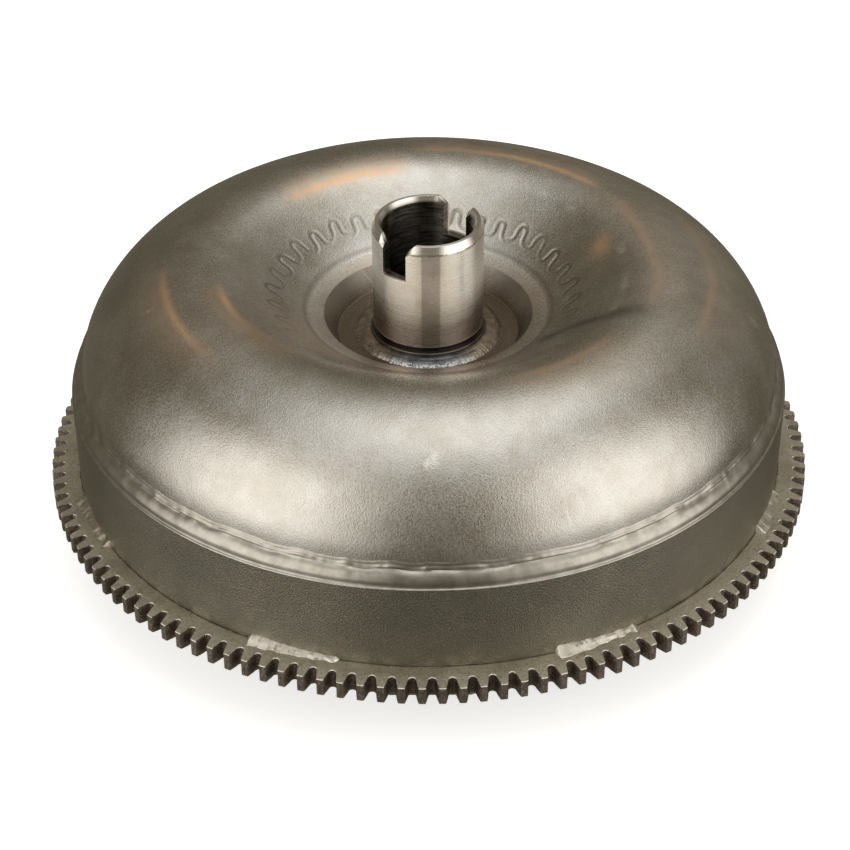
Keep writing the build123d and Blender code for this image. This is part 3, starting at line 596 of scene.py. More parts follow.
def gear_material(name):
    """Hobbed, induction-hardened steel, dull with thin rust."""
    mat = Surface(name)
    cloud = mat.noise(scale=55, detail=4, rough=0.6)
    grain = mat.noise(scale=1000, detail=3, rough=0.7)
    fine = mat.noise(scale=2400, detail=2, rough=0.6)
    x, y, z = mat.xyz()
    radius = mat.radius(x, y)
    face = mat.mix(mat.ramp(cloud, span=(0.34, 0.64)),
                   under=(0.41, 0.37, 0.285), over=(0.53, 0.49, 0.385))
    # dark copy of the face colour for the teeth's side faces, picked below by how far the
    # normal tilts from up: painted shade
    tooth = mat.mix(mat.ramp(mat.noise(scale=330, detail=3, rough=0.6), span=(0.36, 0.64)),
                    under=(0.125, 0.097, 0.08), over=(0.20, 0.165, 0.138))
    normal = mat.node("SeparateXYZ")
    mat.link(mat.node("NewGeometry").outputs["Normal"], normal.inputs[0])
    upward = normal.outputs[2]
    flank = mat.ramp(upward, span=(0.55, 0.85), out=(1.0, 0.0))
    mat.color = mat.mix(flank, face, tooth)
    rust = mat.ramp(mat.noise(scale=230, detail=4, rough=0.65), span=(0.54, 0.70))
    mat.paint(mat.times(rust, 0.45), color=(0.40, 0.25, 0.14))
    # dark pores and bright specks
    mat.paint(mat.ramp(grain, span=(0.30, 0.52), out=(0.55, 0.0)), color=(0.15, 0.125, 0.095))
    mat.paint(mat.ramp(fine, span=(0.56, 0.70), out=(0.0, 0.70)), color=(0.92, 0.86, 0.72))
    # worn, paler edges by pointiness, then a painted highlight on the chamfers, picked by how
    # their normals tilt
    pointed = mat.node("NewGeometry").outputs["Pointiness"]
    mat.paint(mat.ramp(pointed, span=(0.54, 0.62), out=(0.0, 0.10)), color=(0.84, 0.79, 0.69))
    chamfer_highlight = mat.band(upward, rise=(0.25, 0.55), fall=(0.80, 0.97))
    chamfer_highlight = mat.times(chamfer_highlight, mat.ramp(grain, span=(0.30, 0.55), out=(0.45, 1.0)))
    mat.paint(chamfer_highlight, color=(0.88, 0.83, 0.73))
    # bright flecks where the gear meets the drum
    rim = mat.times(mat.ramp(radius, span=(0.1554, 0.1563), out=(1.0, 0.0)),
                    mat.ramp(mat.noise(scale=420, detail=3, rough=0.7), span=(0.45, 0.56)))
    mat.paint(mat.times(rim, 0.8), color=(0.90, 0.86, 0.77))
    roughness = mat.ramp(grain, span=(0.3, 0.7), out=(0.38, 0.56))
    mat.bump(mat.plus(grain, mat.times(fine, 0.6)), strength=0.85, distance=0.00040)
    return mat.finish(roughness, metallic=0.96)


def cast_alloy(name):
    mat = Surface(name)
    cloud = mat.noise(scale=90, detail=4, rough=0.6)
    grain = mat.noise(scale=1400, detail=3, rough=0.6)
    mat.color = mat.mix(mat.ramp(cloud, span=(0.35, 0.65)),
                        under=(0.50, 0.50, 0.50), over=(0.66, 0.66, 0.65))
    mat.bump(grain, strength=0.5, distance=0.0002)
    return mat.finish(mat.ramp(grain, span=(0.3, 0.7), out=(0.38, 0.55)))


def bearing_bronze(name):
    mat = Surface(name)
    cloud = mat.noise(scale=150, detail=4, rough=0.6)
    grain = mat.noise(scale=1800, detail=3, rough=0.6)
    mat.color = mat.mix(mat.ramp(cloud, span=(0.35, 0.65)),
                        under=(0.48, 0.33, 0.16), over=(0.66, 0.49, 0.26))
    mat.bump(mat.streaks(x=900, y=900, z=60, detail=3, rough=0.7),
             strength=0.2, distance=0.0001)
    return mat.finish(mat.ramp(grain, span=(0.3, 0.7), out=(0.26, 0.42)))


def ground_steel(name, light, dark, rough):
    mat = Surface(name)
    cloud = mat.noise(scale=140, detail=4, rough=0.6)
    grain = mat.streaks(x=2600, y=2600, z=90, detail=3, rough=0.6)
    mat.color = mat.mix(mat.ramp(cloud, span=(0.35, 0.65)), dark, light)
    mat.bump(grain, strength=0.12, distance=0.00006)
    return mat.finish(mat.ramp(grain, span=(0.3, 0.7), out=(rough - 0.05, rough + 0.08)))


shell_steel = pressed_steel("shell_steel", light=(0.60, 0.58, 0.54), dark=(0.46, 0.43, 0.375),
                            rough=0.26, relief=1.0, marks=True)
cover_steel = drum_steel("cover_steel")
gear_steel = gear_material("gear_steel")
seam_steel = weld_metal("seam_steel", light=(0.44, 0.415, 0.365), dark=(0.35, 0.325, 0.28),
                        rough=0.33, relief=0.035, blots=0.12, spread=0.05)
weld_steel = weld_metal("weld_steel", light=(0.66, 0.62, 0.545), dark=(0.50, 0.46, 0.39),
                        rough=0.42, relief=0.22, blots=0.25, spread=0.14, dull=True)
hub_weld_steel = hub_weld_metal("hub_weld_steel")
hub_steel = turned_steel("hub_steel", rough=0.27, stains_and_light=True)
pilot_steel = turned_steel("pilot_steel", rough=0.32, stains_and_light=False)
lug_steel = pressed_steel("lug_steel", light=(0.56, 0.53, 0.48), dark=(0.42, 0.39, 0.34),
                          rough=0.34, relief=0.7)
vane_steel = ground_steel("vane_steel", light=(0.55, 0.54, 0.52), dark=(0.42, 0.41, 0.39),
                          rough=0.30)
stator_alloy = cast_alloy("stator_alloy")
washer_bronze = bearing_bronze("washer_bronze")
race_steel = ground_steel("race_steel", light=(0.74, 0.74, 0.74), dark=(0.58, 0.58, 0.58),
                          rough=0.2)
roller_steel = ground_steel("roller_steel", light=(0.80, 0.80, 0.80),
                            dark=(0.72, 0.72, 0.72), rough=0.12)
spring_steel = ground_steel("spring_steel", light=(0.36, 0.37, 0.40),
                            dark=(0.24, 0.25, 0.28), rough=0.25)

# ------------------------------------------------------------ impeller shell
# outside of the dome, rim to well: (radius, z)
DOME = [
    (SHELL_RADIUS, 69.0), (150.0, 76.0), (149.2, 82.0), (146.7, 89.0), (139.4, 100.4),
    (129.5, 109.6), (118.0, 116.2), (105.1, 120.2), (96.0, 120.8), (86.0, 119.0),
    (76.0, 113.5), (66.0, 106.6), (57.0, 100.4), (53.0, 98.3),
]
# corners of the well round the hub: (radius, z)
WELL = [(53.0, 98.3), (51.2, 97.25), (44.9, 95.35), (39.2, WELL_FLOOR), (24.8, WELL_FLOOR)]
# inside of the shell, hub to rim: (radius, z)
SHELL_INSIDE = [
    (24.8, 82.0), (41.7, 82.0), (49.8, 93.3), (54.86, 94.76), (62.3, 99.8), (73.6, 107.5),
    (84.3, 114.8), (96.0, 116.8), (104.3, 116.3), (116.3, 112.6), (127.0, 106.5),
    (136.3, 97.9), (143.0, 87.7), (145.2, 81.4), (146.0, 75.9), (SHELL_INNER_RADIUS, 69.0),
    (SHELL_INNER_RADIUS, SHELL_FOOT),
]
LOOPS = 35      # loops of the wavy groove round the well

# heat-coloured arcs: (radius, start azimuth, end azimuth, width, strength, fade in degrees)
HEAT_ARCS = (
    (111.5, 176, 226, 1.7, 0.95, 16), (88.3, 186, 240, 1.5, 1.0, 14),
    (85.0, 92, 142, 1.7, 1.0, 10), (98.0, 34, 98, 1.3, 1.0, 12),
    (97.0, 330, 44, 2.4, 0.55, 20), (94.0, 280, 330, 2.2, 0.60, 18),
    (120.5, 330, 30, 1.8, 0.50, 14), (111.0, 30, 100, 2.4, 0.25, 20),
)
# painted strokes as (radius, azimuth) points
DIRT_STROKE = ((58, -33), (70, -30), (82, -29.5), (95, -25))
LONG_SCRATCH = ((83.3, 10.8), (84.6, 5), (84.9, -2), (84.2, -9.5), (83.7, -25))
SHORT_SCRATCH = ((82.8, 54), (80, 44), (82.8, 33.8))
# bare spots: (radius, azimuth, width)
BARE_SPOTS = (
    (129.1, 270.8, 1.6), (130.5, 269.6, 1.1), (58.9, 358.2, 1.5), (139.0, 352, 1.8),
    (120, 195, 1.3),
)


def shell_groove(azimuth, radius):
    """Height in mm, and strength 0..1, of the wavy groove pressed round the well."""
    azimuth = np.asarray(azimuth, float) % 360
    pitch = 360.0 / LOOPS
    turn = azimuth - 118.5 - 2.6 * bell(turn_from(azimuth, 40), 0, 45.0)
    loop = np.round(turn / pitch)
    offset = turn - loop * pitch
    loop = (loop % LOOPS).astype(int)
    # each loop's own shift in radius, tilt, depth and width
    random = np.random.RandomState(5)
    shift = random.uniform(-0.7, 0.7, LOOPS)[loop]
    tilt = random.uniform(-0.10, 0.10, LOOPS)[loop]
    depth = random.uniform(0.45, 1.0, LOOPS)[loop]
    wide = random.uniform(0.85, 1.2, LOOPS)[loop]
    # out and across are measured from the middle of the loop
    out = radius - (63.5 - 1.8 * np.cos(np.radians(azimuth))) - shift
    across = np.radians(offset) * radius - tilt * out * 2.0
    half_pitch = np.radians(pitch) * radius / 2
    arch_radius = 2.3 * wide - 0.05 * out
    top, foot, squash = 3.6, -3.4, 0.75
    arch = np.abs(np.hypot(across, np.maximum(out - (top - arch_radius), 0)) - arch_radius)
    # rounded foot that joins one loop to the next
    side = np.sign(across) + (across == 0)
    cup_radius = half_pitch - arch_radius
    cup_out = np.minimum(out - (foot + cup_radius * squash), 0) / squash
    cup = np.abs(np.hypot(across - side * half_pitch, cup_out) - cup_radius)
    distance = np.where(out > 0, arch, cup)
    # the groove dies out inwards, and towards the camera side of the ring
    fade = 0.35 + 0.65 * smooth01((out + 5.5) / 5.0)
    from_camera = np.abs(turn_from(azimuth, 270))
    strength = depth * fade * (0.22 + 0.78 * smooth01((from_camera - 40) / 45.0))
    strength = strength * smooth01((7.5 - np.abs(out)) / 1.5)
    height = -0.32 * bell(distance, 0, 0.80) + 0.10 * bell(distance, 1.45, 0.75)
    return height * strength, bell(distance, 0, 0.62) * strength


def arc_mask(azimuth, radius, centre, start, end, width, fade):
    turned = (azimuth - start) % 360
    length = (end - start) % 360
    inside = np.where(turned <= length, np.minimum(turned, length - turned), -1)
    return bell(radius, centre, width) * smooth01(inside / fade)


def stroke_mask(x, y, points, width):
    """Soft line through (radius, azimuth) points."""
    points = [polar(*point) for point in points]
    nearest = np.full(np.shape(x), 1e9)
    for (x0, y0), (x1, y1) in zip(points[:-1], points[1:]):
        dx, dy = x1 - x0, y1 - y0
        along = np.clip(((x - x0) * dx + (y - y0) * dy) / (dx * dx + dy * dy), 0, 1)
        nearest = np.minimum(nearest, np.hypot(x - x0 - along * dx, y - y0 - along * dy))
    return bell(nearest, 0, width)


def heat_tint(x, y, z, radius, azimuth):
    uneven = (radius + 0.8 * np.sin(np.radians(azimuth) * 3 + 1.0)
              + 0.45 * np.sin(np.radians(azimuth) * 7))
    layers = []
    for centre, start, end, width, strength, fade in HEAT_ARCS:
        # a crisp arc inside a broad, faint one
        for shift, widen, share in ((0, 1, 1), (3, 4.2, 0.38)):
            layers.append(share * strength * arc_mask(
                azimuth, uneven, centre + shift, start, end, width * widen, fade))
    spot_x, spot_y = polar(77.9, 15.5)
    layers.append(0.8 * bell(x, spot_x, 4.5) * bell(y, spot_y, 8.0))
    layers.append(0.25 * arc_mask(azimuth, radius, 60.0, 180, 330, width=16, fade=30))
    # heat colour on the rim of the well, strongest at two places
    warm = (0.30 + 0.55 * bell(turn_from(azimuth, 118), 0, 16.0)
            + 0.5 * bell(turn_from(azimuth, 12), 0, 16.0))
    layers.append(bell(radius, 47.6, 2.4) * (z > 94.0) * warm)
    return np.maximum.reduce(layers)


def dirt_and_shade_mask(x, y, z, radius, azimuth):
    return np.maximum.reduce([
        0.80 * stroke_mask(x, y, DIRT_STROKE, width=4.5),
        # wall of the well, painted dark as shade
        0.80 * smooth01((45.0 - radius) / 1.2) * smooth01((z - 86.3) / 0.8),
        # two smudges low on the dome
        0.35 * arc_mask(azimuth, radius, 132, 150, 200, width=9, fade=20),
        0.3 * arc_mask(azimuth, radius, 140, 20, 60, width=8, fade=14),
        # the wavy groove, painted dark in its crease as shade
        0.85 * shell_groove(azimuth, radius)[1] * (radius > 54),
        # painted shade lines at the outside and inside edges of the well's rim
        0.38 * bell(radius, 53.4, 1.0) * (z > 94.5),
        0.55 * bell(radius, 44.4, 0.8) * (z > 90),
    ])


def bare_and_highlight_mask(x, y, z, radius):
    layers = [
        0.9 * stroke_mask(x, y, LONG_SCRATCH, width=0.55),
        0.5 * stroke_mask(x, y, SHORT_SCRATCH, width=0.5),
        # painted highlights: the lighter rim of the well, and a bright line at the crease
        # outside it
        0.24 * bell(radius, 48.4, 2.8) * (z > 94.5),
        0.55 * bell(radius, 51.6, 0.7) * (z > 94.5),
    ]
    for spot_radius, spot_azimuth, width in BARE_SPOTS:
        spot_x, spot_y = polar(spot_radius, spot_azimuth)
        layers.append(0.8 * bell(np.hypot(x - spot_x, y - spot_y), 0, width))
    return np.maximum.reduce(layers)


def paint_shell(shell):
    """Store the masks that the shell's material reads."""
    mesh = shell.data
    points = np.zeros(len(mesh.vertices) * 3, np.float32)
    mesh.vertices.foreach_get("co", points)
    x, y, z = (points.reshape(-1, 3) * 1000.0).T
    radius = np.hypot(x, y)
    azimuth = np.degrees(np.arctan2(y, x)) % 360
    masks = (
        ("turned", smooth01((41.5 - radius) / 1.5) * (z < 87.5)),
        ("tint", heat_tint(x, y, z, radius, azimuth)),
        ("dirt_and_shade", dirt_and_shade_mask(x, y, z, radius, azimuth)),
        ("pale", bare_and_highlight_mask(x, y, z, radius)),
    )
    top_only = z > 84
    for name, mask in masks:
        layer = mesh.attributes.new(name, "FLOAT", "POINT")
        layer.data.foreach_set("value", (np.clip(mask, 0, 1) * top_only).astype(np.float32))


def shell_section():
    """Closed (radius, z) section, and how many of its first points are rim and dome."""
    dense = spline(DOME, 900)
    # wide steps over the dome, narrow ones over the groove round the well
    pitch = np.where(dense[:, 0] > 74, 2.9, 0.66)
    steps = np.cumsum(np.r_[0, np.hypot(*np.diff(dense, axis=0).T)] / pitch)
    at = np.linspace(0, steps[-1], int(round(steps[-1])) + 1)
    dome = np.column_stack([np.interp(at, steps, dense[:, i]) for i in (0, 1)])
    well = np.vstack([fillet_path(WELL[:3], radius=0.9, steps=3)[:-1],
                      fillet_path(WELL[1:], radius=1.1, steps=5)[1:]])
    floor = [(radius, WELL_FLOOR) for radius in (36.0, 33.0, 30.0)]
    rim = [(SHELL_RADIUS, SHELL_FOOT), (SHELL_RADIUS, 64.0)]
    section = np.vstack([rim, dome, well[1:-1], floor, [well[-1]], SHELL_INSIDE])
    return section, len(rim) + len(dome)


def build_shell():
    section, outside = shell_section()
    tangent = np.gradient(section, axis=0)
    length = np.maximum(np.hypot(tangent[:, 0], tangent[:, 1]), 1e-9)
    angle = full_turn(860)[:, None]
    radius = section[:outside, 0]
    lift = np.zeros((len(angle), len(section)))
    lift[:, :outside] += shell_groove(np.degrees(angle), radius[None, :])[0]
    # faint unevenness of the pressing
    even = smooth01((radius - 60) / 40) * smooth01((146 - radius) / 20)
    lift[:, :outside] += 0.10 * np.sin(3 * angle + 0.7) * even
    lift[:, :outside] += 0.05 * np.sin(7 * angle + 2.1 + radius / 18.0) * even
    points = around(section[:, 0] + lift * tangent[:, 1] / length,
                    section[:, 1] - lift * tangent[:, 0] / length, angle)
    shell = grid("impeller_shell_dome", points, shell_steel, smooth_deg=50)
    paint_shell(shell)
    return shell


install(build_shell(), "impeller_shell")

# ----------------------------------------------------------------- seam weld
# (radius, z, wander in radius, wander in z, ripple)
SEAM_ROWS = [
    (149.9, 66.8, 0, 0, 0), (155.05, 66.8, 0, 0, 0), (155.28, 66.95, 0.01, 0.02, 0),
    (155.20, 67.20, 0.02, 0.04, 0), (154.95, 67.38, 0.04, 0.06, 0),
    (154.55, 67.52, 0.05, 0.07, 0), (154.36, 67.85, 0.06, 0.10, 0),
    (154.34, 68.6, 0.12, 0.14, 0.01), (154.38, 69.5, 0.16, 0.20, 0.02),
    (154.15, 70.5, 0.20, 0.26, 0.03), (153.65, 71.45, 0.22, 0.30, 0.04),
    (152.95, 72.35, 0.22, 0.35, 0.05), (152.1, 73.1, 0.20, 0.40, 0.04),
    (151.4, 73.55, 0.14, 0.50, 0.02), (150.95, 73.85, 0.10, 0.55, 0.0),
    (151.2, 74.45, 0.16, 0.60, 0.02), (151.05, 75.0, 0.16, 0.62, 0.02),
    (150.5, 75.25, 0.10, 0.60, 0.0), (150.3, 75.55, 0.05, 0.60, 0.0),
    (150.5, 76.05, 0.12, 0.62, 0.02), (150.3, 76.6, 0.10, 0.60, 0.02),
    (149.9, 76.95, 0.04, 0.55, 0.0), (149.3, 77.1, 0, 0.45, 0),
]


def build_seam():
    angle = full_turn(1440)
    slow = wobble(angle, 9, seed=1, octaves=3)
    body = wobble(angle, 8, seed=2, octaves=2)
    quick = wobble(angle, 24, seed=3, octaves=1)
    lip = wobble(angle, 12, seed=4, octaves=3)
    ripple = np.sin(angle * 150 + 2.2 * slow) * (0.04 + 0.14 * np.abs(lip))
    # two overlapping lips that come and go along the seam, by row
    fade = 0.5 + 0.5 * np.tanh(2.2 * lip)
    sunk = {15: 1 - fade, 16: 1 - fade, 19: fade, 20: fade}
    rows = []
    for j, (radius, z, wander, wander_z, rippled) in enumerate(SEAM_ROWS):
        source = body if j < 13 else lip
        source_z = slow if j < 14 else 0.75 * slow + 0.75 * lip
        radius = radius + wander * (1.4 * source + 0.16 * quick) + rippled * ripple
        if j in sunk:
            radius = radius - (0.05 + 0.32 * sunk[j])
        rows.append((radius, z + wander_z * (1.2 * source_z + 0.35 * quick)))
    return grid("seam_weld_bead", sweep(rows, angle), seam_steel, smooth_deg=60)


install(build_seam(), "seam_weld")


# --------------------------------------------------------------- front cover
def build_cover():
    corner = 12.0                       # outside radius of the drum's lower corner
    corner_r, corner_z = DRUM_RADIUS - corner, DRUM_BASE + corner
    rise = 6.0                          # the middle stands higher than the outer ring
    middle = DRUM_BASE + rise
    outside = [(DRUM_RADIUS, z) for z in (DRUM_TOP, 60.0, 50.0, 40.0, 30.0, corner_z)]
    for i in range(1, 17):
        angle = math.radians(90 * i / 16)
        outside.append((corner_r + corner * math.cos(angle),
                        corner_z - corner * math.sin(angle)))
    outside += [(radius, DRUM_BASE) for radius in (135, 120, 105)]
    for i in range(13):
        share = i / 12
        outside.append((100.5 - 17 * share, DRUM_BASE + rise * smooth01(share)))
    outside += [(radius, middle) for radius in (70, 45, 30, 15.0)]
    inside = [(radius, middle + WALL) for radius in (15.0, 45, 83)]
    for i in range(1, 9):
        share = i / 8
        inside.append((85.5 + 16 * share, middle + WALL - rise * smooth01(share)))
    inside.append((130, DRUM_BASE + WALL))
    for i in range(9):
        angle = math.radians(90 - 90 * i / 8)
        inside.append((corner_r + (corner - WALL) * math.cos(angle),
                       corner_z - (corner - WALL) * math.sin(angle)))
    inside.append((DRUM_RADIUS - WALL, DRUM_TOP))
    return grid("front_cover_drum", sweep(outside + inside, full_turn(480)), cover_steel,
                smooth_deg=32)


install(build_cover(), "front_cover")


# ------------------------------------------------------------------ ring gear
def gear_outline():
    """Angles in radians and radii of the toothed edge."""
    teeth, tip, first_tooth = 130, 167.64, -91.1
    pitch = 360.0 / teeth
    land = math.degrees(1.4 / tip)          # half the flat tip
    # flank: (radius, half width of the gap)
    flank = ((166.2, 2.30), (164.8, 1.92))
    root, root_centre = 1.66, 163.56        # rounded bottom of the gap
    outline = []
    for k in range(teeth):
        tooth = first_tooth + k * pitch
        for share, cut in ((-1.0, 0.28), (-0.86, 0.05), (0.0, 0.0), (0.86, 0.05), (1.0, 0.28)):
            outline.append((tooth + share * land, tip - cut))
        gap = tooth + pitch / 2
        for radius, half in flank:
            outline.append((gap - math.degrees(half / radius), radius))
        for j in range(9):
            turn = math.radians(180 * j / 8)
            across, out = -root * math.cos(turn), root_centre - root * math.sin(turn)
            outline.append((gap + math.degrees(math.atan2(across, out)),
                            math.hypot(across, out)))
        for radius, half in reversed(flank):
            outline.append((gap + math.degrees(half / radius), radius))
    angle, radius = np.array(outline).T
    return np.radians(angle), radius


def build_gear():
    angle, edge = gear_outline()
    # the top face falls away towards the tips
    top = np.interp(edge, [161.9, 167.64], [GEAR_TOP, 28.15])
    jitter = np.array([
        noise.noise(Vector((math.cos(turn) * 60, math.sin(turn) * 60, 3.3)))
        for turn in angle
    ])
    chamfer = 0.26
    rows = [
        (DRUM_RADIUS, GEAR_BASE),
        (160.6, GEAR_BASE),
        (edge - chamfer, GEAR_BASE),
        (edge, GEAR_BASE + chamfer),
        (edge + 0.03 * jitter, 24.0),
        (edge, top - chamfer - 0.05 * jitter),
        (edge - chamfer, top),
        (160.9, GEAR_TOP),
        (160.5, GEAR_TOP),
        (156.4, GEAR_TOP),
        (156.0 + 0.10 * jitter, GEAR_TOP),
        (155.55 + 0.08 * jitter, 28.82),
        (155.35, 28.3),
    ]
    return grid("ring_gear_teeth", sweep(rows, angle), gear_steel, smooth_deg=27)


install(build_gear(), "ring_gear")


# --------------------------------------------------------------- weld beads
def gear_weld(k):
    """Flat fillet bead in the corner between drum and gear, fat at one end."""
    centre = -110.5 + 45 * k + 1.2 * math.sin(k * 2.3)
    half = 6.6 + 0.8 * math.sin(k * 1.7 + 1)
    length = 2 * half * 2.71                # about 2.71 mm to a degree
    stations = 110
    foot = DRUM_RADIUS - 0.02
    share = np.arange(13) / 12              # across the bead, drum to gear
    arch = np.sin(math.pi * share)
    points = []
    for i in range(stations):
        u = i / (stations - 1)
        along = u * length
        slow = fractal(along * 0.11, k * 5.1, 0.3)
        middle = fractal(along * 0.45, k * 3.7, 4.3)
        quick = fractal(along * 0.80, k * 2.9, 9.1, octaves=2)
        end = min(u, 1 - u) * length
        taper = math.sqrt(smooth01(end / (1.8 if u < 0.5 else 2.6))) * 0.98 + 0.02
        body = 1.0 - 0.50 * smooth01((u - 0.10) / 0.55) + 0.05 * math.sin(along * 0.9 + k)
        # thin neck, then a round crater at the tail of the bead
        neck = 1.0 - 0.30 * bell(u, 0.86, 0.050)
        size = (body + 0.10 * bell(u, 0.94, 0.045)) * neck
        width = (3.5 * size + 0.6 * slow + 0.20 * middle + 0.08 * quick + 0.9) * taper
        height = (2.5 * size + 0.4 * slow + 0.10 * quick + 0.4) * taper
        lump = (0.30 * arch * taper * (1 + 0.3 * middle)
                + 0.06 * np.sin(2 * math.pi * share + slow * 4) * taper)
        radius = foot + width * share**0.9 + lump * 0.5 + 0.10 * quick * arch * 0.4
        z = (GEAR_TOP + height * (1 - share) ** 1.7 + lump * np.where(share > 0.25, 0.8, 0.4)
             + 0.16 * taper * ((share > 0.05) & (share < 0.97)))
        z[-1] -= 0.04
        # the last two points close the section just under the gear's face
        points.append(around(np.r_[radius, foot + width * 0.9, 155.0],
                             np.r_[z, GEAR_TOP - 0.1, GEAR_TOP - 0.1],
                             math.radians(centre + (u * 2 - 1) * half)))
    return grid(f"gw{k}", points, weld_steel, smooth_deg=60, ring=False)


install(join([gear_weld(k) for k in range(8)], "ring_gear_weld_beads"), "ring_gear_welds")

# (radius, z, wander in radius, wander in z)
HUB_WELD_ROWS = [
    (24.7, 85.9, 0, 0), (24.7, 88.15, 0, 0), (25.2, 88.35, 0, 0), (26.2, 88.30, 0.0, 0.02),
    (27.2, 88.1, 0.02, 0.03), (27.5, 87.95, 0.03, 0.03), (28.2, 87.9, 0.03, 0.05),
    (29.0, 87.65, 0.05, 0.06), (29.8, 87.3, 0.12, 0.09), (30.5, 86.85, 0.25, 0.10),
    (31.1, 86.4, 0.40, 0.08), (31.5, 85.95, 0.45, 0.0),
]


def build_hub_weld():
    """Low turned collar with an outer edge most ragged on the camera side."""
    angle = full_turn(720)
    slow = wobble(angle, 4, seed=11, octaves=4)
    middle = wobble(angle, 17, seed=12, octaves=3)
    quick = wobble(angle, 40, seed=13, octaves=2)
    front = bell(turn_from(np.degrees(angle), 270), 0, 38.0)
    rag = 0.9 * slow + (0.4 + 0.5 * front) * middle + 0.45 * front * quick
    rag_z = 0.6 * middle + (0.25 + 0.45 * front) * quick
    rows = [(radius + wander * rag, z + wander_z * rag_z)
            for radius, z, wander, wander_z in HUB_WELD_ROWS]
    return grid("hub_weld_bead", sweep(rows, angle), hub_weld_steel, smooth_deg=50)


install(build_hub_weld(), "hub_weld")

# (radius, z)
PILOT_WELD = [(24.5, 15.9), (24.5, 13.0), (25.4, 12.95), (26.5, 13.6), (27.5, 14.6),
              (28.2, 15.95)]


def build_pilot_weld():
    """Bead round the crank pilot, under the cover."""
    angle = full_turn(360)
    amount = 0.4
    slow = wobble(angle, 5, seed=21, octaves=4)
    quick = wobble(angle, 13, seed=22, octaves=3)
    ripple = np.sin(angle * 70 + 3 * slow)
    last = len(PILOT_WELD) - 1
    rows = []
    for j, (radius, z) in enumerate(PILOT_WELD):
        crown = math.sin(math.pi * j / last)
        wander = 1.0 if j == last else crown
        rows.append((radius + amount * wander * (0.8 * slow + 0.7 * quick)
                     + 0.08 * amount * ripple * crown,
                     z + amount * 0.45 * crown * (quick + 0.18 * ripple)))
    return grid("pilot_weld_bead", sweep(rows, angle), weld_steel, smooth_deg=60)


install(build_pilot_weld(), "pilot_weld")


def lug_bead(k, side):
    """Fillet bead under the cover along one side of drive lug k."""
    centre, length, lug_side = 127, 22, 20.0
    root = lug_side - 0.1
    stations = 46
    share = np.arange(8) / 7                # across the bead, away from the lug
    points = []
    for i in range(stations):
        u = i / (stations - 1)
        uneven = fractal(u * 5 + k * 3, side * 2.0, 0.7)
        taper = smooth01(min(u, 1 - u) * length / 2.0) * 0.97 + 0.03
        width = (4.0 + 0.8 * uneven + 0.25 * math.sin(u * 60)) * taper
        y = np.r_[root + width * share, root + width, lug_side - 0.2]
        z = (DRUM_BASE - width * (1 - share) * 0.95
             - 0.5 * np.sin(math.pi * share) * taper)
        z = np.r_[z, DRUM_BASE + 0.1, DRUM_BASE + 0.1]
        x = np.full(len(y), centre - length / 2 + length * u)
        points.append(np.stack([x, side * y, z], -1))
    x, y, z = np.moveaxis(np.array(points), -1, 0)
    cos, sin = polar(1.0, 90 * k)
    points = np.stack([x * cos - y * sin, x * sin + y * cos, z], -1)
    return grid(f"lb{k}{side}", points, weld_steel, smooth_deg=60, ring=False)


install(join([lug_bead(k, side) for k in range(4) for side in (1, -1)], "lug_weld_beads"),
        "lug_welds")


# ------------------------------------------------------------------ pump hub
def hub_column(outer_angle, inner_angle, inner_z, top_z, outer_z):
    """One upright section of the tube; its angle changes through the wall."""
    radius, z = np.array([
        (HUB_INNER, 79.0), (HUB_INNER, 100.0), (HUB_INNER, SLOT_FLOOR),
        (HUB_INNER, inner_z), (20.8, top_z), (22.3, top_z), (HUB_OUTER, outer_z),
        (HUB_OUTER, SLOT_FLOOR), (HUB_OUTER, 107.0), (HUB_OUTER, 91.5), (23.45, 91.1),
        (23.1, 91.0), (23.1, 89.2), (23.3, 89.05), (24.6, 89.0), (24.8, 88.8),
        (24.8, 82.0), (32.0, 82.0), (32.0, 79.0),
    ]).T
    share = np.clip((radius - HUB_INNER) / (HUB_OUTER - HUB_INNER), 0, 1)
    return around(radius, z, inner_angle + (outer_angle - inner_angle) * share)


def build_hub():
    """Tube with two opposite slots in its top end, their upper corners eased."""
    slot_half = 6.0
    ease_width, ease_drop = 2.6, 3.0

    def wall_angles(y):
        return math.asin(y / HUB_OUTER), math.asin(y / HUB_INNER)

    def wall_column(start, outer, inner, drop=0.0):
        return hub_column(start + outer, start + inner,
                          137.7 - drop, HUB_TOP - drop, 136.7 - drop * 0.55)

    eased = [(*wall_angles(slot_half + ease), ease_drop * (1 - ease / ease_width))
             for ease in (0.0, 0.65, 1.3, 1.95, ease_width)]
    outer_end, inner_end = eased[-1][:2]
    steps = 72
    columns = []
    for slot in range(2):
        start = math.radians(-128.0) + slot * math.pi
        for i in range(9):
            outer, inner = wall_angles(-slot_half + 2 * slot_half * i / 8)
            columns.append(hub_column(start + outer, start + inner,
                                      SLOT_FLOOR, SLOT_FLOOR, SLOT_FLOOR))
        for outer, inner, drop in eased:
            columns.append(wall_column(start, outer, inner, drop))
        for i in range(1, steps):
            share = i / steps
            columns.append(wall_column(start, outer_end + (math.pi - 2 * outer_end) * share,
                                       inner_end + (math.pi - 2 * inner_end) * share))
        for outer, inner, drop in reversed(eased):
            columns.append(wall_column(start, math.pi - outer, math.pi - inner, drop))
    hub = grid("pump_drive_hub", columns, hub_steel, smooth_deg=16)
    bevel(hub, width=0.16, angle_deg=16)
    return hub


install(build_hub(), "pump_hub")

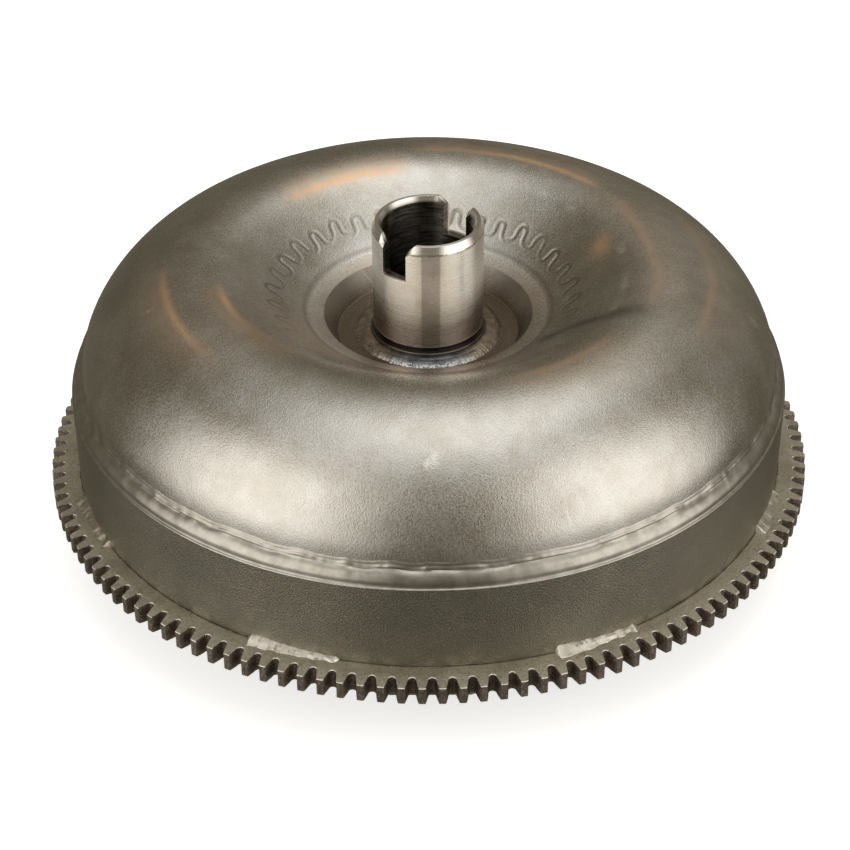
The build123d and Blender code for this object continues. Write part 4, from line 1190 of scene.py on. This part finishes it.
# --------------------------------------------------- carried-over CAD pieces
CAD_MATERIALS = (
    (pilot_steel, ("crank_pilot",)),
    (lug_steel, ("drive_lugs", "drain_plug", "balance_weights")),
    (vane_steel, ("impeller_blades", "impeller_core_ring", "turbine_shell",
                  "turbine_blades", "turbine_core_ring")),
    (race_steel, ("turbine_hub", "turbine_rivets", "clutch_cam", "inner_race")),
    (stator_alloy, ("stator_wheel",)),
    (roller_steel, ("clutch_rollers",)),
    (spring_steel, ("clutch_springs", "front_snap_ring", "rear_snap_ring")),
    (washer_bronze, ("front_clutch_cap", "rear_clutch_cap", "impeller_thrust_washer",
                     "cover_thrust_washer", "stator_thrust_washer")),
)
CAD_BEVELS = {"drive_lugs": 0.5, "drain_plug": 0.5, "balance_weights": 0.5, "crank_pilot": 0.3}

for material, nodes in CAD_MATERIALS:
    for node in nodes:
        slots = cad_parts[node].data.materials
        slots.clear()
        slots.append(material)
for node, width in CAD_BEVELS.items():
    bevel(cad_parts[node], width, angle_deg=35)


# --------------------------------------------------------------------- floor
def floor_material():
    """Matt white that also glows a little."""
    material = node_material("floor_white")
    graph = Graph(material.node_tree)
    output = graph.node("OutputMaterial")
    glow = graph.node("Emission")
    glow.inputs["Color"].default_value = (1, 1, 1, 1)
    glow.inputs["Strength"].default_value = 0.62
    matt = graph.node("BsdfDiffuse")
    matt.inputs["Color"].default_value = (0.86, 0.86, 0.86, 1)
    both = graph.node("AddShader")
    graph.link(glow.outputs[0], both.inputs[0])
    graph.link(matt.outputs[0], both.inputs[1])
    graph.link(both.outputs[0], output.inputs[0])
    return material


def build_floor():
    """Disc below the converter, in metres; it casts no light on the product."""
    sides, radius, height = 96, 6, -0.0121
    mesh = bpy.data.meshes.new("floor")
    edge = [(radius * math.cos(TAU * i / sides), radius * math.sin(TAU * i / sides), height)
            for i in range(sides)]
    mesh.from_pydata(edge, [], [list(range(sides))])
    floor = bpy.data.objects.new("floor", mesh)
    bpy.context.scene.collection.objects.link(floor)
    mesh.materials.append(floor_material())
    floor.visible_glossy = False
    floor.visible_diffuse = False
    return floor


build_floor()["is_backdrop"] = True

# --------------------------------------------------------------------- world
# sky brightness by elevation in degrees
SKY = [(-90, 0.09), (-50, 0.11), (-20, 0.15), (15, 0.155), (40, 0.17), (52, 0.25),
       (62, 0.58), (73, 1.42), (90, 1.60)]
SKY_SCALE = 4       # the sky ramp holds brightness divided by this
# soft panels of light in degrees, turn measured from -Y towards +X:
# (turn, half width, softness, elevation, half height, softness, power)
PANELS = (
    (-54, 30, 13, 17, 34, 12, 1.70),
    (61, 30, 13, 17, 34, 12, 1.66),
    (-54, 30, 14, -30, 13, 10, 0.42),
    (58, 30, 14, -30, 13, 10, 0.45),
    (120, 60, 30, 74, 12, 10, 0.38),
    (140, 28, 12, 22, 20, 14, 0.12),
    (180, 24, 14, 47, 10, 9, 0.20),
    (-180, 24, 14, 47, 10, 9, 0.20),
    (140, 24, 14, 58, 10, 9, 0.70),
)
PANEL_COLOR = (1.0, 0.988, 0.968)


def sky_ramp(graph):
    """Colour ramp over elevation, warm below 55 degrees and neutral above."""
    ramp = graph.node("ValToRGB")
    ramp.color_ramp.interpolation = "EASE"
    elements = ramp.color_ramp.elements
    for i, (elevation, brightness) in enumerate(SKY):
        position = (elevation + 90) / 180
        element = elements[i] if i < 2 else elements.new(position)
        element.position = position
        value = brightness / SKY_SCALE
        warm = 0.0 if elevation > 55 else 1.0
        element.color = (value * (1 + 0.07 * warm), value * (1 - 0.05 * warm),
                         value * (0.985 - 0.29 * warm), 1)
    return ramp


def build_world():
    """Studio panels light the product; the camera sees plain white."""
    world = bpy.data.worlds.new("studio")
    bpy.context.scene.world = world
    world.use_nodes = True
    graph = Graph(world.node_tree)
    output = graph.node("OutputWorld")
    coords = graph.node("TexCoord")
    direction = graph.node("SeparateXYZ")
    graph.link(coords.outputs["Generated"], direction.inputs[0])
    x, y, z = direction.outputs
    turn = graph.math("ARCTAN2", x, graph.times(y, -1.0))
    elevation = graph.math("ARCSINE", z)

    def soft_band(value, centre, half, soft):
        offset = graph.math("SUBTRACT", value, math.radians(centre))
        return graph.ramp(graph.math("ABSOLUTE", offset), out=(1.0, 0.0),
                          span=(math.radians(half - soft), math.radians(half + soft)))

    ramp = sky_ramp(graph)
    graph.link(graph.plus(graph.math("DIVIDE", elevation, math.pi), 0.5), ramp.inputs[0])
    panels = graph.times(0.0, 0.0)      # the sum starts from nothing
    for *across, height, half_height, soft, power in PANELS:
        panel = graph.times(soft_band(turn, *across),
                            soft_band(elevation, height, half_height, soft))
        panels = graph.plus(panels, graph.times(panel, power))
    light = graph.node("Background")
    color = graph.node("CombineColor")
    sky = graph.node("SeparateColor")
    graph.link(ramp.outputs[0], sky.inputs[0])
    for i, share in enumerate(PANEL_COLOR):
        total = graph.plus(graph.times(panels, share), graph.times(sky.outputs[i], SKY_SCALE))
        graph.link(total, color.inputs[i])
    graph.link(color.outputs[0], light.inputs[0])
    backdrop = graph.node("Background")
    backdrop.inputs[0].default_value = (1, 1, 1, 1)
    rays = graph.node("LightPath")
    chooser = graph.node("MixShader")
    graph.link(rays.outputs["Is Camera Ray"], chooser.inputs[0])
    graph.link(light.outputs[0], chooser.inputs[1])
    graph.link(backdrop.outputs[0], chooser.inputs[2])
    graph.link(chooser.outputs[0], output.inputs[0])


build_world()


# -------------------------------------------------------------------- camera
def build_camera():
    """Long lens on the -Y side, looking down at the dome."""
    lens = bpy.data.cameras.new("camera")
    lens.lens = 93.81
    lens.sensor_width = 36.0
    lens.clip_start, lens.clip_end = 0.02, 50
    camera = bpy.data.objects.new("camera", lens)
    place = Matrix.Translation((-0.0016, -0.8073, 0.6102))
    tilt = Matrix.Rotation(math.radians(54.5), 4, "X")
    roll = Matrix.Rotation(math.radians(-0.25), 4, "Z")
    camera.matrix_world = place @ tilt @ roll
    scene = bpy.context.scene
    scene.collection.objects.link(camera)
    scene.camera = camera
    scene.view_settings.view_transform = "Standard"
    scene.view_settings.look = "None"


build_camera()


# ---------------------------------------------------------------------- size
def plain(value):
    """Nested lists of floats, ready for JSON."""
    if (isinstance(value, (list, tuple)) or hasattr(value, "to_tuple")
            or hasattr(value, "tolist")):
        return [plain(item) for item in value]
    return float(value)


{"cad": plain(CAD_BOUNDS), "visual": plain(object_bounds())}
